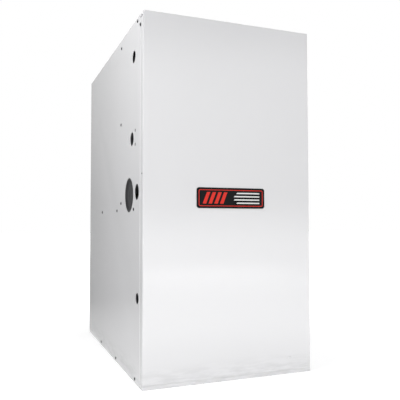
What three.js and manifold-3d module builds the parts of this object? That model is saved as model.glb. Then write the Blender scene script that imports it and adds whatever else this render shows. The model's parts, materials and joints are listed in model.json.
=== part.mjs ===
// An upflow forced-air gas furnace with a pull-off front door: cabinet, burners, tubular heat exchanger,
// draft inducer, blower and controls. Millimetres, +Z up. The door faces -Y, and the origin is on the
// floor under the middle of the cabinet.
import * as THREE from "three";
import { mergeVertices } from "three/addons/utils/BufferGeometryUtils.js";
import Module from "manifold-3d";

const wasm = await Module();
wasm.setup();

// ---- Cabinet and door ----
const cabinetWidth = 444.5; // 17 1/2 in
const cabinetDepth = 711.2; // 28 in, from the badge's face to the back
const cabinetHeight = 876.3; // 34 1/2 in, without the duct flanges
const sheet = 1.2; // steel sheet of the cabinet, door and panels
const bendRadius = 2.5; // middle of the sheet, at each fold of the cabinet and door
const seat = 0.3; // gap between two faces that meet
const badgeWidth = 181;
const badgeHeight = 50;
const badgeDepth = 1.5;
const badgeCorner = 6;
const badgeCentreHeight = 440;
const doorDepth = 25;
const doorLip = 16; // return lip at the back of the door's side flanges
const doorRelief = 11; // corner notch at the top of the side flanges
const doorPad = 12; // insulation behind the door's face
const frontFlange = 22; // return flanges of the cabinet sides
const sillHeight = 9.5; // rail below the door
const sillSetback = 1.5;
const panelFlange = 22; // folded edges of the deck, vestibule, top and base
const cornerNotch = 3; // at the corners of folded panels
const ductFlange = 19; // flanges round the supply opening, for the plenum
const ductMargin = 20; // from the cabinet's skin to the duct openings
const flangeRelief = 4; // gap at the corners of the duct flanges

// ---- Inner panels ----
const deckHeight = 400; // upper face of the blower deck
const vestibuleSetback = 213; // from the door's face to the vestibule panel
const wireHoleDiameter = 34; // through the deck, for the wiring
const wireHoleX = 150;
const wireHoleSetback = 80;
const linerDepth = 8; // foil-faced insulation beside the heat exchanger

// ---- Holes of the left side, from the door's face and the floor ----
const gasHoleSetback = 56;
const gasHoleHeight = 454;
const gasHoleDiameter = 38;
const airHoleSetback = 134.5;
const airHoleHeight = 450;
const airHoleDiameter = 87;
const airHoleSides = 24;
const conduitHoleSetback = 106.5;
const conduitHoleHeight = 588.5;
const conduitHoleDiameter = 34;
const boxScrewSetback = 74; // two small holes in front of the conduit hole
const boxScrewSpread = 34.5;
const boxScrewDiameter = 8.5;
const upperHoleSetback = 89;
const upperHoleDrop = 85.3; // from the top of the cabinet
const upperHoleDiameter = 30;
const lowerHoleSetback = 49.5;
const lowerHoleHeight = 201.5;
const lowerHoleDiameter = 27;

// ---- Heat exchanger ----
const tubeCount = 4;
const outerTubeInset = 78.25; // from the cabinet's sides to the middles of the outer tubes
const upperTubeDrop = 104.3; // from the top of the cabinet to the tubes' upper ends
const tubeRadius = 22;
const tubeWall = 1.5;
const tubeSides = 8;
const tubeOutletRadius = 18;
const tubeMouthDepth = 60; // open part at the burner end
const tubeStandOut = 3; // ends of the tubes in front of the vestibule panel
const tubeCollar = 28; // round part at the outlet
const tubeTaper = 42; // from the flattened part to the round outlet
const passCount = 4;
const tubeBackSetback = 116; // from the back of the cabinet to the middle of the rear bends
const tubeFrontSetback = 92; // from the vestibule panel to the middle of the front bend
const flatWidth = 15; // half width of the flattened upper passes
const flatHeight = 26; // half height of the flattened upper passes

// ---- Burners and gas train ----
const burnerHeadRadius = 18;
const burnerBellRadius = 15;
const burnerThroatRadius = 9;
const burnerStandoff = 12; // from the burner heads to the vestibule panel
const burnerWall = 1;
const burnerSides = 10;
const carryoverHeight = 12; // wings that pass the flame from burner to burner
const carryoverDepth = 14;
const railRadius = 9; // gas manifold
const orificeLength = 9;
const orificeRadius = 5;
const valveLength = 84;
const valveDepth = 54;
const valveHeight = 56;
const valvePortRadius = 15;
const valvePortLength = 12;
const valveChamfer = 8;
const valveSocket = 4; // from the outlet's root to the end of the supply pipe
const regulatorRadius = 11;
const regulatorStand = 7;
const regulatorOffset = 16; // from the end of the valve's body
const coilOffset = 36; // from the end of the valve's body
const coilMargin = 6;
const coilStand = 12;
const coilDrop = 18;
const coilRise = 12;
const valveInletGap = 34; // from the cabinet's side to the valve's inlet
const supplyPipeRadius = 8.5; // from the valve to the manifold
const supplyBend = 18;
const knobRadius = 13;
const knobOffset = 50; // from the end of the valve's body
const knobHeight = 11;
const rackWallHeight = 46;
const rackMargin = 14; // from the outer burner heads to the rack's walls
const probeHoleRadius = 3.5; // in the rack's walls
const igniterRadius = 2;
const igniterBodyRadius = 4.2;
const igniterBodyLength = 26;
const flameSensorRadius = 1.5;
const flameSensorBodyRadius = 4;
const flameSensorBodyLength = 22;
const probeReach = 34; // from the rack's wall to the probes' tips
const rolloutRise = 54; // above the burners' axes
const rolloutRadius = 9;
const rolloutDepth = 12;
const rolloutFlangeWidth = 38;
const rolloutFlangeHeight = 16;
const buttonRadius = 3.2;
const buttonReach = 4.5;
const buttonTravel = 2;

// ---- Flue gas side ----
const collectorDepth = 46;
const collectorOverhang = 40; // past the middles of the outer tubes
const collectorHeight = 124;
const collectorDrop = 82; // from the upper tube ends down to the collector's lower edge
const collectorRim = 8; // flange round its open side
const inducerAxisDrop = 36; // from the upper tube ends down to the inducer's axis
const inducerX = -64;
const inducerDepth = 52;
const inducerTongueRadius = 62;
const inducerMouthRadius = 92;
const inducerOutletHeight = 88; // above the inducer's axis
const inducerInletRadius = 38;
const inducerWall = 1.5;
const inducerWheelRadius = 54;
const inducerWheelWidth = 30;
const inducerWheelSides = 16;
const inducerBlades = 10;
const inducerBladeRoot = 30;
const inducerShroudRadius = 42;
const inducerWheelSetback = 5; // from the housing's front wall to the wheel's disc
const inducerHubRadius = 9;
const inducerShaftRadius = 4;
const inducerMotorRadius = 40;
const inducerMotorLength = 56;
const coolingFanRadius = 34;
const coolingFanWidth = 9;
const coolingFanFins = 6;
const coolingFanSpace = 16; // between the housing and the motor
const motorPostRadius = 4.5;
const flueRadius = 38; // outside of the flue collar
const flueWall = 1.2;
const flueSides = 18;
const flueFlange = 46; // flange that seats on the inducer's outlet
const flueFlangeDepth = 2;
const flueTaper = 24;
const flueStandUp = 15; // above the top panel

// ---- Blower ----
const blowerSetback = 379; // from the door's face to the blower's axis
const blowerHeight = 212;
const wheelRadius = 127;
const wheelInnerRadius = 105;
const wheelWidth = 203;
const wheelBlades = 28;
const wheelRing = 4;
const bladeThickness = 1.2;
const bladeArc = 15.5; // radius of the blades' curve
const bladeLean = 6; // degrees that the blades' tips lean ahead
const bladeMargin = 1.6; // from the blades' edges to the rims' edges
const wheelDiscRadius = 110;
const wheelDiscThickness = 1.6;
const scrollTongueRadius = 140;
const scrollMouthRadius = 206;
const scrollWidth = 234;
const inletRadius = 103;
const inletFlare = 10;
const inletSides = 20;
const scrollFlange = 14; // rests in the deck's rails
const railDrop = 12; // from the deck down to the scroll's flanges
const railFlange = 13;
const railFrontSetback = 186; // from the door's face
const shaftRadius = 6.35;
const runningGap = 0.4; // round a turning shaft
const motorRadius = 71;
const motorSides = 16;
const motorLength = 116;
const motorOverhang = 41; // of the motor's tail past the scroll's side
const motorBoss = 19;
const motorBoreDepth = 30;
const hubRadius = 16;
const hubLength = 40;
const bandWidth = 16;
const bandDepth = 1.8;
const armWidth = 14;
const armThickness = 3;
const armCount = 3;
const armReach = 14; // of the arms' ends past the inlet's flare

// ---- Controls ----
const controlPanelSetback = 158; // from the door's face
const controlPanelWidth = 300;
const controlPanelHeight = 138;
const boardWidth = 140;
const boardHeight = 104;
const boardThickness = 1.6;
const boardX = -66;
const standoff = 8;
const standoffRadius = 3;
const relaySize = 19;
const relayHeight = 15;
const relayGap = 5;
const relayOffset = 10; // of the middle relay, from the middle of the board
const relayRise = 8; // of the relays' lower edges above the middle of the board
const plugStripWidth = 10;
const plugStripHeight = 9;
const plugStripInset = 6;
const plugStripFloor = 16; // from the board's lower edge
const plugStripTop = 18; // from the board's upper edge
const tabStripStart = 28; // from the board's left edge
const tabStripEnd = 40; // from the board's right edge
const tabStripHeight = 8;
const tabStripInset = 5;
const tabStripWidth = 9;
const boardCanRadius = 8;
const boardCanHeight = 20;
const boardCanInset = 16;
const boardCanRise = 24; // of its axis, above the board's lower edge
const capacitorRadius = 22;
const capacitorLength = 74;
const capacitorOffset = 131; // in front of the blower's axis
const strapWidth = 14;
const strapFoot = 12;
const transformerX = 100;
const transformerWidth = 56;
const transformerHeight = 50;
const transformerDepth = 42;
const transformerFoot = 8; // width of each mounting foot
const transformerFootHeight = 35;
const windingWidth = 30;
const windingDepth = 30;
const windingStand = 10; // above and below the core
const switchInset = 42.25; // from the cabinet's side to the door switch
const switchDrop = 40; // from the deck down to the door switch
const switchWidth = 20;
const switchBodyHeight = 26;
const switchBodyDepth = 30;
const plungerRadius = 4;
const switchBracketHeight = 44;
const switchBracketReach = 54; // from the cabinet's side
const plungerReach = 11; // of the pressed plunger, in front of the cabinet
const plungerSeat = 16; // depth of the plunger's bore in the switch
const pressureSwitchInset = 77.25; // from the cabinet's side
const pressureSwitchDrop = 80; // below the collector
const pressureSwitchRadius = 36;
const pressureSwitchDepth = 26;
const pressureSwitchPlate = 44;
const hoseRadius = 4.5;
const hoseBore = 5.6;
const hoseBend = 24;
const barbLength = 10;
const barbRise = 40; // of the inducer's barb above its axis
const junctionBoxSize = 84;
const junctionBoxDepth = 56;
const junctionBoxSetback = 98; // from the door's face to the middle of the box
const limitSwitchDrop = 162; // below the upper ends of the tubes
const limitSwitchRadius = 13;
const limitSwitchDepth = 16;
const limitProbeRadius = 8;
const limitProbeLength = 84;

// ---- Places that follow from the dimensions ----
const halfWidth = cabinetWidth / 2;
const innerX = halfWidth - sheet;
const doorFaceY = -cabinetDepth / 2 + badgeDepth;
const frameY = doorFaceY + doorDepth; // front edges of the cabinet sides
const backY = cabinetDepth / 2;
const panelX = innerX - seat; // half width of the panels inside the cabinet
const panelFrontY = frameY + sheet + seat;
const panelBackY = backY - sheet - seat;
const vestibuleY = doorFaceY + vestibuleSetback;
const vestibuleX = panelX - sheet - seat;
const ductX = halfWidth - ductMargin;
const ductFrontY = vestibuleY + panelFlange + seat;
const ductBackY = backY - ductMargin;
const burnerZ = gasHoleHeight;
const upperTubeZ = cabinetHeight - upperTubeDrop;
const passPitch = (upperTubeZ - burnerZ) / (passCount - 1);
const tubePitch = (2 * (halfWidth - outerTubeInset)) / (tubeCount - 1);
const valveY = doorFaceY + gasHoleSetback;
const railY = valveY + valveDepth / 2 + 2 + railRadius;
const burnerStartY = railY + railRadius + orificeLength - 3;
const burnerEndY = vestibuleY - burnerStandoff;
const probeY = (burnerEndY + vestibuleY) / 2; // in front of the tubes' mouths
const rackTop = burnerZ - burnerHeadRadius - seat;
const rackX = ((tubeCount - 1) / 2) * tubePitch + burnerHeadRadius + rackMargin;
const collectorFrontY = vestibuleY - seat - collectorDepth;
const collectorFloor = upperTubeZ - collectorDrop;
const inducerZ = upperTubeZ - inducerAxisDrop;
const pressureSwitchX = halfWidth - pressureSwitchInset;
const pressureSwitchZ = collectorFloor - pressureSwitchDrop;
const limitSwitchZ = upperTubeZ - limitSwitchDrop;
const inducerBackY = collectorFrontY - seat;
const inducerFrontY = inducerBackY - inducerDepth;
const tongueAngle = Math.PI / 3;
const flueX = inducerX + (inducerMouthRadius + inducerTongueRadius * Math.cos(tongueAngle)) / 2;
const flueY = (inducerBackY + inducerFrontY) / 2;
const blowerY = doorFaceY + blowerSetback;
const deckUnderside = deckHeight - sheet;
const controlPanelY = doorFaceY + controlPanelSetback;
const switchX = halfWidth - switchInset;
const switchZ = deckHeight - switchDrop;

const paint = { color: 0xe6e7e8, roughness: 0.35, metalness: 0 };
const galvanised = { color: 0xb3b7b9, roughness: 0.45, metalness: 0.8 };
const aluminised = { color: 0x9da0a1, roughness: 0.5, metalness: 0.8 };
const castAluminium = { color: 0xa9abad, roughness: 0.55, metalness: 0.7 };
const blackPaint = { color: 0x1d1e20, roughness: 0.45, metalness: 0.2 };
const blackPlastic = { color: 0x17181a, roughness: 0.5, metalness: 0 };
const paleCeramic = { color: 0xe5dfd0, roughness: 0.7, metalness: 0 };
const shaftSteel = { color: 0x8c8f92, roughness: 0.3, metalness: 0.9 };
const foil = { color: 0xc9cccd, roughness: 0.3, metalness: 0.7 };
const boardGreen = { color: 0x2a5c3a, roughness: 0.6, metalness: 0 };
const redPlastic = { color: 0xb3261e, roughness: 0.4, metalness: 0 };
const hoseRubber = { color: 0x2b2b2d, roughness: 0.6, metalness: 0 };

const furnace = new THREE.Group();

// ---- Solids ----

// A closed geometry as a solid with its faces pointing out.
function solidOf(geometry) {
  const bare = new THREE.BufferGeometry();
  bare.setAttribute("position", geometry.getAttribute("position"));
  bare.setIndex(geometry.index);
  const merged = mergeVertices(bare, 1e-4);
  const corners = merged.index.array;
  const kept = [];
  for (let i = 0; i < corners.length; i += 3) {
    const [a, b, c] = corners.subarray(i, i + 3);
    if (a !== b && b !== c && c !== a) kept.push([a, b, c]);
  }
  const build = (faces) =>
    new wasm.Manifold(
      new wasm.Mesh({
        numProp: 3,
        vertProperties: merged.attributes.position.array,
        triVerts: new Uint32Array(faces.flat()),
      }),
    );
  const made = build(kept);
  return made.volume() > 0 ? made : build(kept.map(([a, b, c]) => [a, c, b]));
}

function geometryOf(solid) {
  const mesh = solid.getMesh();
  const geometry = new THREE.BufferGeometry();
  geometry.setAttribute("position", new THREE.BufferAttribute(mesh.vertProperties, 3));
  geometry.setIndex(new THREE.BufferAttribute(mesh.triVerts, 1));
  const faceted = geometry.toNonIndexed();
  faceted.computeVertexNormals();
  return faceted;
}

const join = (...solids) => solids.reduce((whole, solid) => whole.add(solid));
const cut = (solid, ...tools) => tools.reduce((rest, tool) => rest.subtract(tool), solid);

function block(x0, x1, y0, y1, z0, z1) {
  const geometry = new THREE.BoxGeometry(x1 - x0, y1 - y0, z1 - z0);
  return solidOf(geometry.translate((x0 + x1) / 2, (y0 + y1) / 2, (z0 + z1) / 2));
}

// Turns a geometry made along Y to run along another axis.
const turnFromY = {
  x: (geometry) => geometry.rotateZ(-Math.PI / 2),
  y: (geometry) => geometry,
  z: (geometry) => geometry.rotateX(Math.PI / 2),
};

// A round bar from a point, along an axis.
function rod(axis, [x, y, z], length, radius, segments = 20) {
  const geometry = new THREE.CylinderGeometry(radius, radius, length, segments);
  return solidOf(turnFromY[axis](geometry.translate(0, length / 2, 0)).translate(x, y, z));
}

// A profile of [radius, distance] points, turned about an axis through a point.
function revolve(axis, [x, y, z], profile, segments = 20) {
  const points = profile.map(([radius, distance]) => new THREE.Vector2(radius, distance));
  return solidOf(turnFromY[axis](new THREE.LatheGeometry(points, segments)).translate(x, y, z));
}

function extrude(shape, length) {
  return new THREE.ExtrudeGeometry(shape, { depth: length, bevelEnabled: false, curveSegments: 2 });
}

function alongZ(shape, z0, z1, x = 0, y = 0) {
  return solidOf(extrude(shape, z1 - z0).translate(x, y, z0));
}

// The shape's own axes become X and Z.
function alongY(shape, y0, y1, x = 0, z = 0) {
  return solidOf(extrude(shape, y1 - y0).rotateX(Math.PI / 2).translate(x, y1, z));
}

// The shape's own axes become Y and Z.
function alongX(shape, x0, x1, y = 0, z = 0) {
  const turn = new THREE.Matrix4().makeBasis(
    new THREE.Vector3(0, 1, 0),
    new THREE.Vector3(0, 0, 1),
    new THREE.Vector3(1, 0, 0),
  );
  return solidOf(extrude(shape, x1 - x0).applyMatrix4(turn).translate(x0, y, z));
}

// Points along a folded line, with the direction across it, and an arc at each fold.
function foldedLine(corners, radius, steps = 3) {
  const points = corners.map(([u, v]) => new THREE.Vector2(u, v));
  const across = (from, to) => {
    const along = to.clone().sub(from).normalize();
    return new THREE.Vector2(-along.y, along.x);
  };
  const line = [{ at: points[0], across: across(points[0], points[1]) }];
  for (let i = 1; i < points.length - 1; i++) {
    const before = across(points[i - 1], points[i]);
    const after = across(points[i], points[i + 1]);
    const turn = Math.atan2(before.cross(after), before.dot(after));
    const side = Math.sign(turn);
    const back = radius * Math.tan(Math.abs(turn) / 2);
    const start = points[i].clone().add(points[i - 1].clone().sub(points[i]).setLength(back));
    const centre = start.clone().addScaledVector(before, side * radius);
    for (let k = 0; k <= steps; k++) {
      const normal = before.clone().rotateAround(new THREE.Vector2(), (turn * k) / steps);
      line.push({ at: centre.clone().addScaledVector(normal, -side * radius), across: normal });
    }
  }
  const [end, last] = points.slice(-2);
  line.push({ at: last, across: across(end, last) });
  return line;
}

// The outline of a sheet folded along a line through the middle of its thickness.
function foldedSheet(corners, thickness = sheet, radius = bendRadius) {
  const line = foldedLine(corners, radius);
  const offset = (side) =>
    line.map(({ at, across }) => at.clone().addScaledVector(across, (side * thickness) / 2));
  return new THREE.Shape([...offset(1), ...offset(-1).reverse()]);
}

// A tray: a plate with its four edges folded to one side, and notched corners.
function tray(x0, x1, y0, y1, z0, z1, open) {
  const inside = {
    "+z": [x0 + sheet, x1 - sheet, y0 + sheet, y1 - sheet, z0 + sheet, z1 + 1],
    "-z": [x0 + sheet, x1 - sheet, y0 + sheet, y1 - sheet, z0 - 1, z1 - sheet],
    "+y": [x0 + sheet, x1 - sheet, y0 + sheet, y1 + 1, z0 + sheet, z1 - sheet],
  }[open];
  const notch = cornerNotch;
  const notches = [];
  for (const x of [x0, x1]) {
    for (const end of open === "+y" ? [z0, z1] : [y0, y1]) {
      const across = [end - notch, end + notch];
      const places = open === "+y" ? [y0 - 1, y1 + 1, ...across] : [...across, z0 - 1, z1 + 1];
      notches.push(block(x - notch, x + notch, ...places));
    }
  }
  return cut(block(x0, x1, y0, y1, z0, z1), block(...inside), ...notches);
}

function roundedRectangle(width, height, radius) {
  const [x, y] = [width / 2 - radius, height / 2 - radius];
  const shape = new THREE.Shape();
  shape.absarc(x, y, radius, 0, Math.PI / 2);
  shape.absarc(-x, y, radius, Math.PI / 2, Math.PI);
  shape.absarc(-x, -y, radius, Math.PI, 1.5 * Math.PI);
  shape.absarc(x, -y, radius, 1.5 * Math.PI, 2 * Math.PI);
  return shape;
}

// The outline of a fan scroll: it grows from the tongue to the mouth, which opens upwards.
function scrollShape(tongueRadius, mouthRadius, top, inset = 0) {
  const steps = 16;
  const neck = tongueRadius * Math.cos(tongueAngle) + inset;
  const start = Math.acos(neck / (tongueRadius - inset));
  const points = [];
  for (let i = 0; i <= steps; i++) {
    const angle = start + ((2 * Math.PI - start) * i) / steps;
    const radius = tongueRadius + ((mouthRadius - tongueRadius) * i) / steps - inset;
    points.push(new THREE.Vector2(radius * Math.cos(angle), radius * Math.sin(angle)));
  }
  points.push(new THREE.Vector2(mouthRadius - inset, top));
  points.push(new THREE.Vector2(neck, top));
  return new THREE.Shape(points);
}

// Rings of points joined into one closed skin, with a flat cap at each end.
function skinOver(rings) {
  const sides = rings[0].length;
  const positions = rings.flat().flatMap((point) => point.toArray());
  const faces = [];
  for (let r = 0; r + 1 < rings.length; r++) {
    for (let s = 0; s < sides; s++) {
      const [a, b] = [r * sides + s, r * sides + ((s + 1) % sides)];
      faces.push(a, b, b + sides, a, b + sides, a + sides);
    }
  }
  const last = (rings.length - 1) * sides;
  for (let s = 1; s + 1 < sides; s++) {
    faces.push(0, s + 1, s, last, last + s, last + s + 1);
  }
  const geometry = new THREE.BufferGeometry();
  geometry.setAttribute("position", new THREE.Float32BufferAttribute(positions, 3));
  geometry.setIndex(faces);
  return solidOf(geometry);
}

// Points along a route in space, with an arc at each corner that turns.
function roundedRoute(corners, radius, steps = 3) {
  const points = [corners[0]];
  for (let i = 1; i + 1 < corners.length; i++) {
    const before = corners[i].clone().sub(corners[i - 1]).normalize();
    const after = corners[i + 1].clone().sub(corners[i]).normalize();
    const turn = before.angleTo(after);
    if (turn < 1e-6) {
      points.push(corners[i]);
      continue;
    }
    const start = corners[i].clone().addScaledVector(before, -radius * Math.tan(turn / 2));
    const axis = before.clone().cross(after).normalize();
    const outward = before.clone().cross(axis);
    const centre = start.clone().addScaledVector(outward, -radius);
    for (let k = 0; k <= steps; k++) {
      const spoke = outward.clone().applyAxisAngle(axis, (turn * k) / steps);
      points.push(centre.clone().addScaledVector(spoke, radius));
    }
  }
  points.push(corners[corners.length - 1]);
  return points.filter((point, i) => i === 0 || point.distanceTo(points[i - 1]) > 1e-6);
}

// A solid along a route. At each point it has two half sizes across the route.
function sweep(route, halfSizes, firstAcross, sides) {
  const across = firstAcross.clone();
  const rings = route.map((at, i) => {
    const arriving = at.clone().sub(route[Math.max(i - 1, 0)]).normalize();
    const leaving = route[Math.min(i + 1, route.length - 1)].clone().sub(at).normalize();
    const along = arriving.add(leaving).normalize();
    across.addScaledVector(along, -across.dot(along)).normalize();
    const over = along.clone().cross(across);
    const [halfAcross, halfOver] = halfSizes(at);
    return Array.from({ length: sides }, (_, s) => {
      const angle = (2 * Math.PI * s) / sides;
      const point = at.clone().addScaledVector(across, halfAcross * Math.cos(angle));
      return point.addScaledVector(over, halfOver * Math.sin(angle));
    });
  });
  return skinOver(rings);
}

const point = (x, y, z) => new THREE.Vector3(x, y, z);

// A flat bar that stands out from an axis along X or Y, at an angle round it.
function spoke(axis, [x, y, z], [near, far], [start, end], width, angle) {
  const bar = new THREE.BoxGeometry(width, end - start, far - near);
  bar.translate(0, (start + end) / 2, (near + far) / 2);
  if (axis === "x") bar.rotateZ(-Math.PI / 2).rotateX(angle);
  else bar.rotateY(angle);
  return solidOf(bar.translate(x, y, z));
}

function piece(group, name, solid, look, x = 0) {
  const mesh = new THREE.Mesh(geometryOf(solid), new THREE.MeshStandardMaterial(look));
  mesh.name = name;
  mesh.position.x = x;
  group.add(mesh);
}

// ---- Cabinet ----

function cabinetWrap() {
  const middle = sheet / 2;
  const edge = halfWidth - frontFlange;
  const wall = halfWidth - middle;
  const outline = foldedSheet([
    [-edge, frameY + middle],
    [-wall, frameY + middle],
    [-wall, backY - middle],
    [wall, backY - middle],
    [wall, frameY + middle],
    [edge, frameY + middle],
  ]);
  const hole = (setback, height, diameter, segments = 16) =>
    rod("x", [-halfWidth - 1, doorFaceY + setback, height], sheet + 2, diameter / 2, segments);
  return cut(
    alongZ(outline, 0, cabinetHeight),
    hole(gasHoleSetback, gasHoleHeight, gasHoleDiameter),
    hole(airHoleSetback, airHoleHeight, airHoleDiameter, airHoleSides),
    hole(conduitHoleSetback, conduitHoleHeight, conduitHoleDiameter),
    hole(boxScrewSetback, conduitHoleHeight + boxScrewSpread / 2, boxScrewDiameter, 8),
    hole(boxScrewSetback, conduitHoleHeight - boxScrewSpread / 2, boxScrewDiameter, 8),
    hole(upperHoleSetback, cabinetHeight - upperHoleDrop, upperHoleDiameter),
    hole(lowerHoleSetback, lowerHoleHeight, lowerHoleDiameter),
  );
}

// The top: open over the heat exchanger, with flanges for the plenum, and holed for the flue.
function topPanel() {
  const pan = tray(
    -panelX, panelX, panelFrontY, panelBackY, cabinetHeight - panelFlange, cabinetHeight, "-z",
  );
  const under = cabinetHeight - panelFlange / 2;
  const opening = block(-ductX, ductX, ductFrontY, ductBackY, under, cabinetHeight + 1);
  const flueHole = rod("z", [flueX, flueY, under], panelFlange, flueRadius + seat, flueSides);
  const foot = cabinetHeight - sheet;
  const top = cabinetHeight + ductFlange;
  const [x, near, far] = [ductX, ductFrontY + flangeRelief, ductBackY - flangeRelief];
  return join(
    cut(pan, opening, flueHole),
    block(-x - sheet, -x, near, far, foot, top),
    block(x, x + sheet, near, far, foot, top),
    block(-x + flangeRelief, x - flangeRelief, ductFrontY - sheet, ductFrontY, foot, top),
    block(-x + flangeRelief, x - flangeRelief, ductBackY, ductBackY + sheet, foot, top),
  );
}

// The base: the return air comes up through it.
function baseFrame() {
  const pan = tray(-panelX, panelX, panelFrontY, panelBackY, 0, panelFlange, "+z");
  return cut(pan, block(-ductX, ductX, frameY + 2 * ductMargin, ductBackY, -1, panelFlange / 2));
}

function doorSill() {
  const [front, back] = [doorFaceY + sillSetback, frameY - seat];
  return cut(
    block(-halfWidth, halfWidth, front, back, 0, sillHeight),
    block(-innerX, innerX, front + sheet, back - sheet, -1, sillHeight - sheet),
  );
}

function blowerDeck() {
  const pan = tray(
    -panelX, panelX, panelFrontY, panelBackY, deckUnderside, deckHeight + panelFlange, "+z",
  );
  const tongueY = blowerY + scrollTongueRadius * Math.cos(tongueAngle) + sheet;
  const mouthY = blowerY + scrollMouthRadius - sheet;
  const mouthX = scrollWidth / 2 - sheet;
  const through = [deckUnderside - 1, deckHeight + 1];
  const airY = doorFaceY + airHoleSetback;
  return cut(
    pan,
    block(-mouthX, mouthX, tongueY, mouthY, ...through),
    rod("z", [wireHoleX, doorFaceY + wireHoleSetback, through[0]], sheet + 2, wireHoleDiameter / 2),
    rod("x", [-halfWidth, airY, airHoleHeight], frontFlange, airHoleDiameter / 2 + 2 * sheet, airHoleSides),
  );
}

// A rail across the front, between the burner and blower compartments.
function crossRail() {
  const x = halfWidth - frontFlange - seat;
  const [floor, top] = [deckUnderside - panelFlange, deckHeight + panelFlange];
  return block(-x, x, frameY, frameY + sheet, floor, top);
}

// The wall between the burners and the air stream. The tubes' two ends pass through it.
function vestibulePanel() {
  const pan = tray(
    -vestibuleX, vestibuleX, vestibuleY, vestibuleY + panelFlange,
    deckHeight + seat, cabinetHeight - sheet - seat, "+y",
  );
  const hole = (x, z, radius) => rod("y", [x, vestibuleY - 1, z], sheet + 2, radius, tubeSides);
  const tools = [hole(0, limitSwitchZ, limitProbeRadius + seat)];
  for (const x of tubePlaces()) {
    tools.push(hole(x, burnerZ, tubeRadius + seat), hole(x, upperTubeZ, tubeOutletRadius + seat));
  }
  return cut(pan, ...tools);
}

// Foil-faced blanket round the back and sides of the heat exchanger.
function foilLiner() {
  const outer = vestibuleX - seat;
  const inner = outer - linerDepth;
  const front = vestibuleY + panelFlange + seat;
  const back = panelBackY - sheet - seat;
  const [floor, top] = [deckHeight + seat, cabinetHeight - panelFlange - seat];
  return cut(
    block(-outer, outer, front, back, floor, top),
    block(-inner, inner, front - 1, back - linerDepth, floor - 1, top + 1),
  );
}

// ---- Door ----

function frontDoor() {
  const middle = sheet / 2;
  const wall = halfWidth - middle;
  const lipY = frameY - seat - middle;
  const outline = foldedSheet([
    [-halfWidth + doorLip, lipY],
    [-wall, lipY],
    [-wall, doorFaceY + middle],
    [wall, doorFaceY + middle],
    [wall, lipY],
    [halfWidth - doorLip, lipY],
  ]);
  const floor = sillHeight + 2 * seat;
  const flange = (z) => block(-innerX, innerX, doorFaceY + middle, frameY - seat, z, z + sheet);
  const notch = (side) => {
    const x = side * halfWidth;
    const [x0, x1] = [x - 2 * bendRadius, x + 2 * bendRadius];
    const front = doorFaceY + 2 * bendRadius;
    return block(x0, x1, front, frameY, cabinetHeight - doorRelief, cabinetHeight + 1);
  };
  return cut(
    join(alongZ(outline, floor, cabinetHeight), flange(floor), flange(cabinetHeight - sheet)),
    notch(1),
    notch(-1),
  );
}

function doorInsulation() {
  const x = halfWidth - doorLip - bendRadius;
  const front = doorFaceY + sheet + seat;
  return block(-x, x, front, front + doorPad, deckHeight + panelFlange, cabinetHeight - 2 * panelFlange);
}

// A folded tab on the door that presses the door switch.
function switchTab() {
  const [front, back] = [doorFaceY + sheet + seat, frameY - plungerReach - seat];
  const middle = sheet / 2;
  const half = switchWidth / 2;
  const foot = switchZ - switchBodyHeight;
  const outline = foldedSheet([
    [front + middle, foot - half],
    [front + middle, switchZ - half],
    [back - middle, switchZ - half],
    [back - middle, switchZ + half],
  ], sheet, sheet);
  return alongX(outline, switchX - half, switchX + half);
}

function badge() {
  const plate = roundedRectangle(badgeWidth, badgeHeight, badgeCorner);
  return alongY(plate, doorFaceY - badgeDepth, doorFaceY - seat, 0, badgeCentreHeight);
}

// ---- Heat exchanger ----

function tubePlaces() {
  return Array.from({ length: tubeCount }, (_, i) => (i - (tubeCount - 1) / 2) * tubePitch);
}

// One serpentine tube: round for the flame in its first pass, then pressed narrow.
function exchangerTube() {
  const bend = passPitch / 2;
  const rear = backY - tubeBackSetback + bend;
  const front = vestibuleY + tubeFrontSetback - bend;
  const endY = vestibuleY - tubeStandOut;
  const corners = [point(0, endY, burnerZ)];
  for (let pass = 0; pass + 1 < passCount; pass++) {
    const turnY = pass % 2 === 0 ? rear : front;
    corners.push(point(0, turnY, burnerZ + pass * passPitch));
    corners.push(point(0, turnY, burnerZ + (pass + 1) * passPitch));
  }
  corners.push(point(0, vestibuleY + tubeCollar + tubeTaper, upperTubeZ));
  corners.push(point(0, vestibuleY + tubeCollar, upperTubeZ));
  corners.push(point(0, endY, upperTubeZ));
  const halfSizes = ({ y, z }) => {
    if (z < burnerZ + passPitch - 1) return [tubeRadius, tubeRadius];
    const atOutlet = z > upperTubeZ - 1 && y < vestibuleY + tubeCollar + 1;
    return atOutlet ? [tubeOutletRadius, tubeOutletRadius] : [flatHeight, flatWidth];
  };
  return cut(
    sweep(roundedRoute(corners, bend, 2), halfSizes, point(0, 0, 1), tubeSides),
    rod("y", [0, endY - 1, burnerZ], tubeMouthDepth + 1, tubeRadius - tubeWall, tubeSides),
    rod("y", [0, endY - 1, upperTubeZ], tubeCollar + 1, tubeOutletRadius - tubeWall, tubeSides),
  );
}

// Gathers the burnt gas of all the tubes. It is open towards them.
function collectorBox() {
  const x = ((tubeCount - 1) / 2) * tubePitch + collectorOverhang;
  const [back, floor] = [vestibuleY - seat, collectorFloor];
  const top = floor + collectorHeight;
  const rim = cut(
    block(-x - collectorRim, x + collectorRim, back - sheet, back, floor - collectorRim, top + collectorRim),
    block(-x + sheet, x - sheet, back - sheet - 1, back + 1, floor + sheet, top - sheet),
  );
  return cut(
    join(tray(-x, x, collectorFrontY, back, floor, top, "+y"), rim),
    rod("y", [inducerX, collectorFrontY - 1, inducerZ], sheet + 2, inducerInletRadius, 16),
  );
}

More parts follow.
